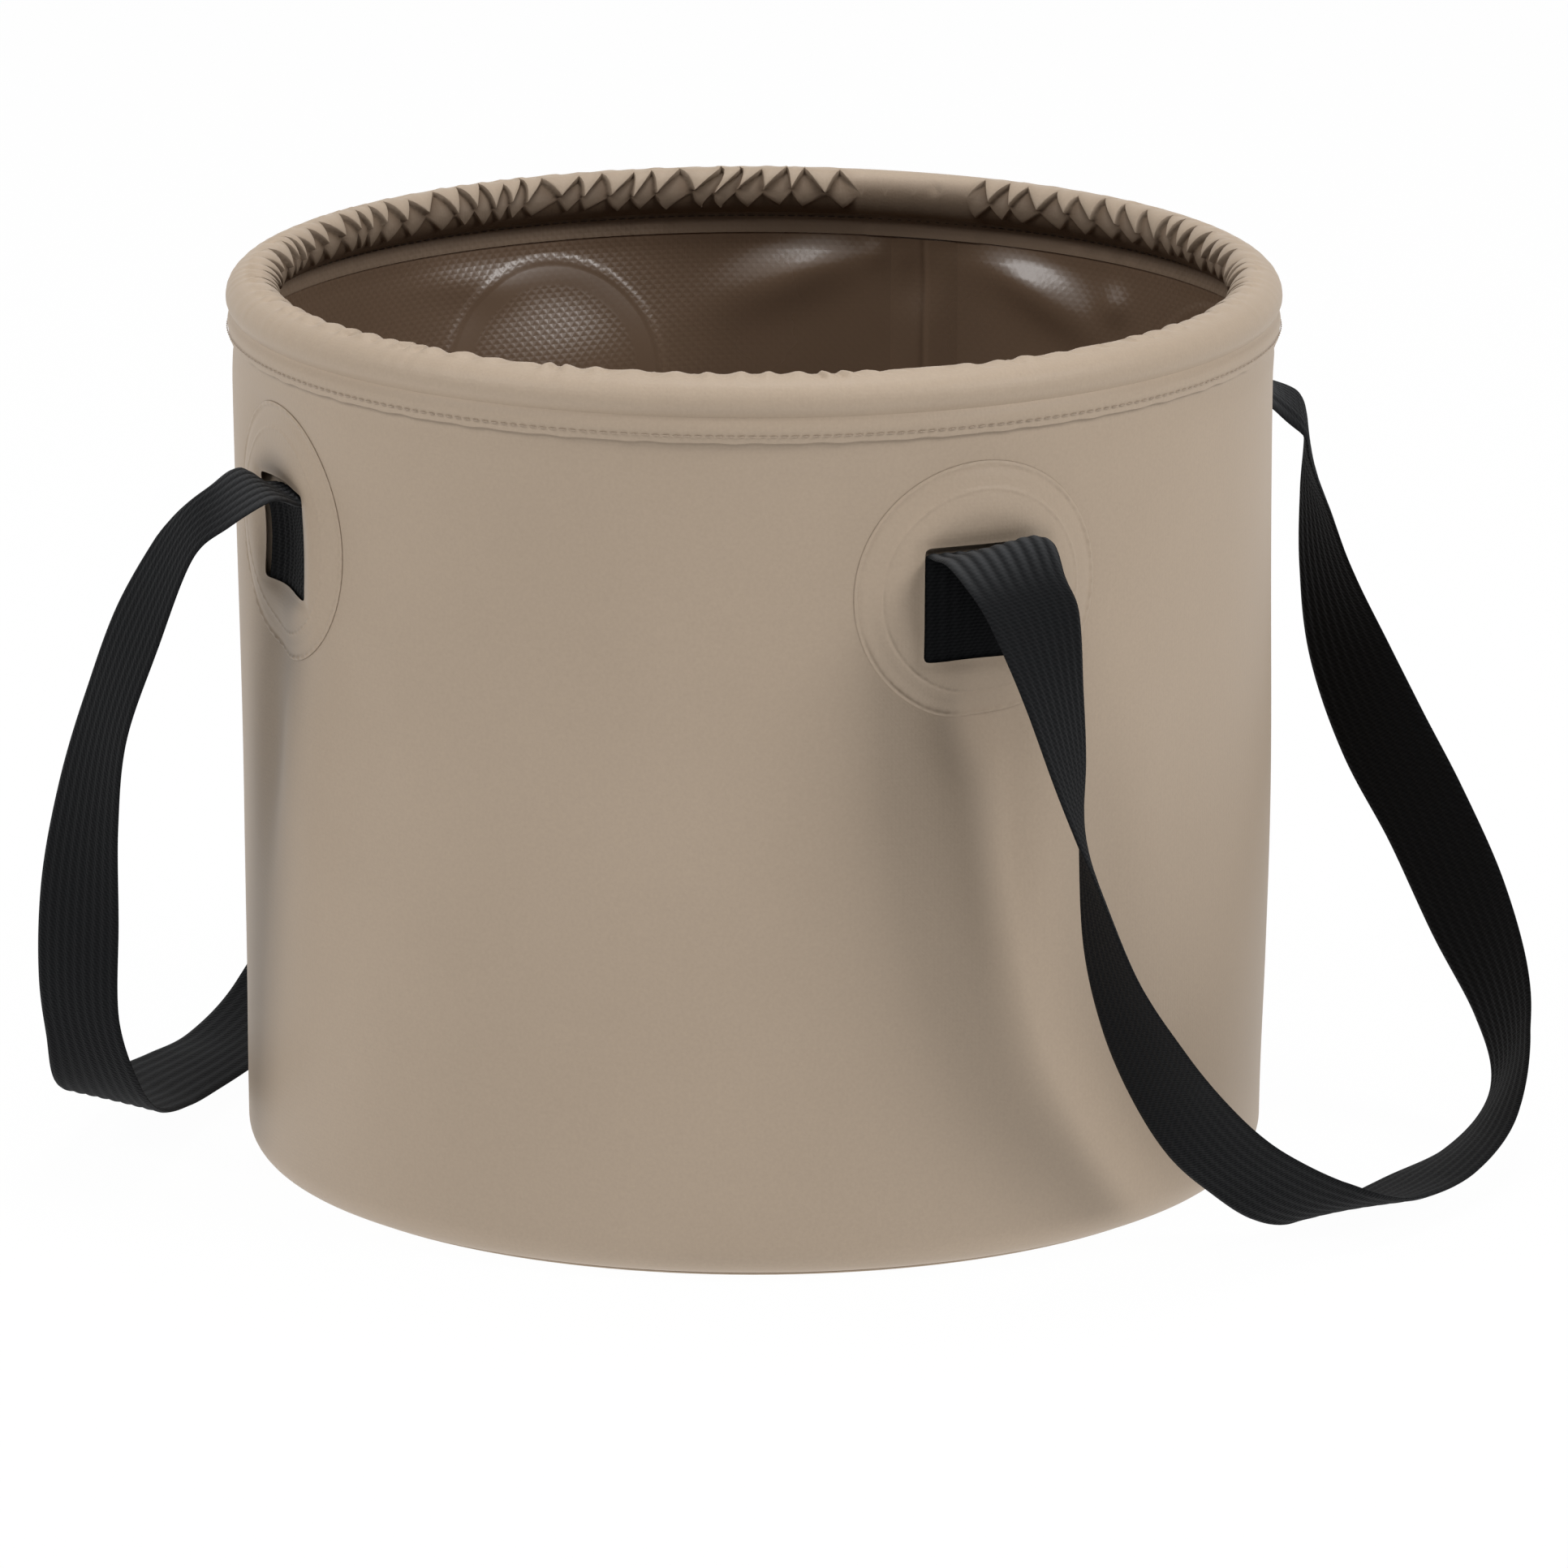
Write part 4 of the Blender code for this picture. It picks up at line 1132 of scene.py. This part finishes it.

# Painted shade grows down the upper facets and is darkest right under each upper ridge and all
# through the hollows at the foot. None is painted where the ends overlap.
middle_painted_shade = UPPER_PAINTED_SHADE + stepped * (0.74 - 0.26 * ease((middle_angles - high_corner) / 1.1))
painted_shade = (0 * smooth_angles, upper_painted_shade, middle_painted_shade, 0.6 + 0.4 * lower_step)
painted_shade = np.concatenate((*painted_shade, 1 + 0 * closing_angles)) * gathered
facet_radii = np.concatenate((smooth_radii, upper_radii, middle_radii, lower_radii))
facet_radii = np.maximum(facet_radii, HOOP_SKIN)
facet_radii = ROLL_RADIUS + (facet_radii - ROLL_RADIUS) * gathered
roll_angles = np.concatenate(
    (smooth_angles, upper_angles, middle_angles, lower_angles, closing_angles)
)
# Where the ends overlap, painted shade darkens the smooth roll only towards the inside.
painted_shade = painted_shade + (1 - gathered) * 0.8 * ease((roll_angles - 1.9) / 1.1)
roll_radii = np.concatenate((facet_radii, np.full(closing_angles.shape, ROLL_RADIUS)))
lap_dent = bell(turn_apart(sleeve_turns, LAP_DENT_TURN) * RIM_RADIUS, LAP_DENT_WIDTH)
roll_radii = roll_radii - LAP_DENT_DEPTH * lap_dent * bell(roll_angles - 2.6, 0.25)
roll_out = RIM_RADIUS + roll_radii * np.cos(roll_angles)
roll_up = RIM_HEIGHT + roll_radii * np.sin(roll_angles)

# The gathers lean away from the seam, some more than others: a valley's top is carried one way
# along the rim and its foot the other way.
uneven = np.random.default_rng(7).uniform(-1, 1, PLEATS)
uneven = (np.roll(uneven, 1) + 2 * uneven + np.roll(uneven, -1)) / 4
uneven = np.interp(sleeve_knots, 2 * np.arange(PLEATS) + 1, uneven, period=2 * PLEATS)
lean = 0.8 * uneven - 0.42 * np.sin(2 * (sleeve_turns - TAPE_TURN))
down_the_pleat = np.cos(np.pi * np.clip((roll_angles - 1.95) / 1.68, 0, 1))
within = ease((roll_angles - 1.4) / 0.6) * ease((4.35 - roll_angles) / 0.75)
roll_turns = sleeve_turns + PLEAT_PITCH / 2 * lean * down_the_pleat * within * gathered


def round_row(value):
    """One row round the rim, with the same value all along it."""
    return np.full((1, len(sleeve_turns)), value)


hem_wave = 0.00012 * np.sin(61 * sleeve_turns) + 0.00010 * np.sin(97 * sleeve_turns + 1)
leg_share = np.linspace(0, 1, LEG_ROWS + 1)[:-1, None]
outer_leg_up = HEM_HEIGHT + (roll_up[0] - HEM_HEIGHT) * leg_share + hem_wave * (1 - leg_share)
outer_leg_out = OUTER_FACE + LEG_SWELL * np.sin(np.pi * leg_share) + 0 * outer_leg_up
inner_leg_up = roll_up[-1] + (INNER_HEM - roll_up[-1]) * (1 - leg_share[::-2])
lap_step = LAP_STEP * ease((LAP_TURN - np.abs(turn_apart(sleeve_turns, TAPE_TURN))) / 0.003)
inner_leg_out = INNER_FACE - lap_step + 0 * inner_leg_up
back_radius = ROLL_RADIUS - FABRIC
back_start = leg_angle(INNER_FACE + FABRIC, back_radius) + 2 * math.pi
back_end = leg_angle(OUTER_FACE - FABRIC, back_radius)
back_angles = np.linspace(back_start, back_end, BACK_ROWS)[:, None]
back_out = RIM_RADIUS + back_radius * np.cos(back_angles) + 0 * sleeve_turns
back_up = RIM_HEIGHT + back_radius * np.sin(back_angles) + 0 * sleeve_turns
bands = (
    (outer_leg_out, outer_leg_up),
    (roll_out, roll_up),
    (inner_leg_out, inner_leg_up),
    (round_row(INNER_FACE + FABRIC), round_row(INNER_HEM)),
    (back_out, back_up),
    (round_row(OUTER_FACE - FABRIC), round_row(HEM_HEIGHT)),
)
sleeve_out, sleeve_up = (np.concatenate(rows) for rows in zip(*bands))
# The seams pull the outside in under the roll, and again along the line of stitches.
nip = sum(depth * bell(sleeve_up - height, width) for depth, height, width in SLEEVE_NIPS)
roll_first = len(outer_leg_out)
roll_last = roll_first + len(roll_out) - 1
nipped = slice(roll_first + NIPPED_ROWS)
sleeve_out[nipped] -= nip[nipped]
turn_rows = np.tile(sleeve_turns, (len(sleeve_out), 1))
turn_rows[roll_first : roll_last + 1] = roll_turns
sleeve_points = around(sleeve_out, sleeve_up, turn_rows)[:, :-1]
typical = len(sleeve_turns) // 3
section = np.stack((sleeve_out[:, typical], sleeve_up[:, typical]), axis=1)
sleeve_length = lengths_along(section)
# The sleeve's vinyl takes its painted shade from an attribute of the mesh.
gathered_vinyl = vinyl_outside("gathered_vinyl", painted_shade="painted_shade")
hem_lining = vinyl_inside("hem_lining", (0.235, 0.168, 0.118), (0.27, 0.195, 0.137), 0.5, 0.3)
sleeve = surface(
    "rim_sleeve_gathered",
    sleeve_points,
    cloth_places(np.append(sleeve_length, 0) + 1, sleeve_turns * MOUTH_RADIUS),
    (gathered_vinyl, hem_lining),
    rows_meet=True,
    row_finish=(np.arange(len(sleeve_out)) >= roll_last).astype(int),
)
# The painted shade goes on the sleeve as an attribute of its points, for its material to read.
painted_shade_values = np.zeros(sleeve_points.shape[:2])
painted_shade_values[roll_first : roll_last + 1] = painted_shade[:, :-1]
sleeve.data.attributes.new("painted_shade", "FLOAT", "POINT").data.foreach_set("value", painted_shade_values.ravel())
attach(sleeve, "rim")
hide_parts("rim_sleeve")


# Hem stitching
#
# Two lines of lock stitch in bonded thread, taupe outside and brown inside. Each stitch is a
# short length of thread that rises from its needle hole, lies on the cloth and goes down again.

STITCH_PITCH = 0.0033
STITCH_LENGTH = 0.0026
THREAD_RADIUS = 0.00022
SWELL_AT_STITCHES = 0.00039
STITCH_STATIONS = 7
STITCH_SIDES = 6


def stitch_line(name, radius, outwards, thread):
    """Many stitches in one mesh: a round section carried along a half sine over the cloth."""
    count = round(2 * math.pi * radius / STITCH_PITCH)
    turns = 2 * np.pi * np.arange(count) / count
    share = np.linspace(0, 1, STITCH_STATIONS)
    angle = 2 * np.pi * np.arange(STITCH_SIDES) / STITCH_SIDES
    thick = THREAD_RADIUS * np.sqrt(np.sin(np.pi * (0.04 + 0.92 * share)))[:, None]
    lift = THREAD_RADIUS * (0.9 * np.sin(np.pi * share)[:, None] - 0.5)
    out = radius + outwards * (lift + thick * np.cos(angle))
    up = STITCH_HEIGHT + thick * np.sin(angle) + 0 * out
    along = (share - 0.5)[:, None] * STITCH_LENGTH / radius + 0 * out
    points = around(out, up, turns[:, None, None] + along).reshape(-1, 3)
    sides = face_corners(STITCH_STATIONS, STITCH_SIDES, STITCH_STATIONS - 1)
    end = np.arange(STITCH_SIDES)
    caps = np.stack((end, end[::-1] + (STITCH_STATIONS - 1) * STITCH_SIDES))
    if outwards > 0:
        sides = sides[:, ::-1]
    else:
        caps = caps[:, ::-1]
    first = np.arange(count)[:, None, None] * STITCH_STATIONS * STITCH_SIDES
    faces = (sides + first).reshape(-1, 4).tolist()
    faces += (caps + first).reshape(-1, STITCH_SIDES).tolist()
    mesh = bpy.data.meshes.new(name)
    mesh.from_pydata(points.tolist(), [], faces)
    mesh.materials.append(thread)
    mesh.shade_smooth()
    piece = set_out(name, mesh)
    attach(piece, "rim")
    return piece


def thread_finish(name, dark, light):
    """Bonded thread: its twist in slanting bands of colour and relief."""
    material, tree = new_finish(name)
    inputs = {"Vector": place_in_space(tree), "Scale": 900, "Distortion": 1.5}
    twist = node(tree, "ShaderNodeTexWave", inputs, bands_direction="DIAGONAL").outputs["Fac"]
    colour = tint(twist, (*dark, 1), (*light, 1))
    return shade(material, colour, 0.6, raised(twist, 0.4, 0.0001))


taupe_thread = thread_finish("taupe_thread", (0.32, 0.25, 0.185), (0.42, 0.33, 0.25))
brown_thread = thread_finish("brown_thread", (0.085, 0.06, 0.042), (0.12, 0.085, 0.06))
outside_face = OUTER_FACE + SWELL_AT_STITCHES + THREAD_RADIUS
outside_stitches = stitch_line("stitches_outside", outside_face, 1, taupe_thread)
inside_stitches = stitch_line("stitches_inside", INNER_FACE - THREAD_RADIUS, -1, brown_thread)
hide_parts("hem_thread_outside")
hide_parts("hem_thread_inside")


# Hoop and joiner
#
# Natural polyethylene tube bent into a hoop inside the sleeve, its ends pushed over a turned plug
# of grey nylon. The sleeve hides them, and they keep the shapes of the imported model.


def moulded_plastic(name, pale, deep, roughness):
    """Moulded plastic: a slight cloudiness in the colour and a fine matt skin."""
    material, tree = new_finish(name)
    place = place_in_space(tree)
    skin = clouds(place, 1500, 2)
    colour = tint(clouds(place, 60, 3), (*deep, 1), (*pale, 1))
    dull = spread(skin, roughness - 0.08, roughness + 0.08)
    return shade(material, colour, dull, raised(skin, 0.2, 0.0001))


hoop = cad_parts["rim_hoop"]
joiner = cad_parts["hoop_joiner"]
hoop.material_slots[0].material = moulded_plastic(
    "natural_polyethylene", (0.78, 0.77, 0.73), (0.7, 0.69, 0.64), 0.42
)
joiner.material_slots[0].material = moulded_plastic(
    "grey_nylon", (0.3, 0.3, 0.31), (0.24, 0.24, 0.25), 0.5
)
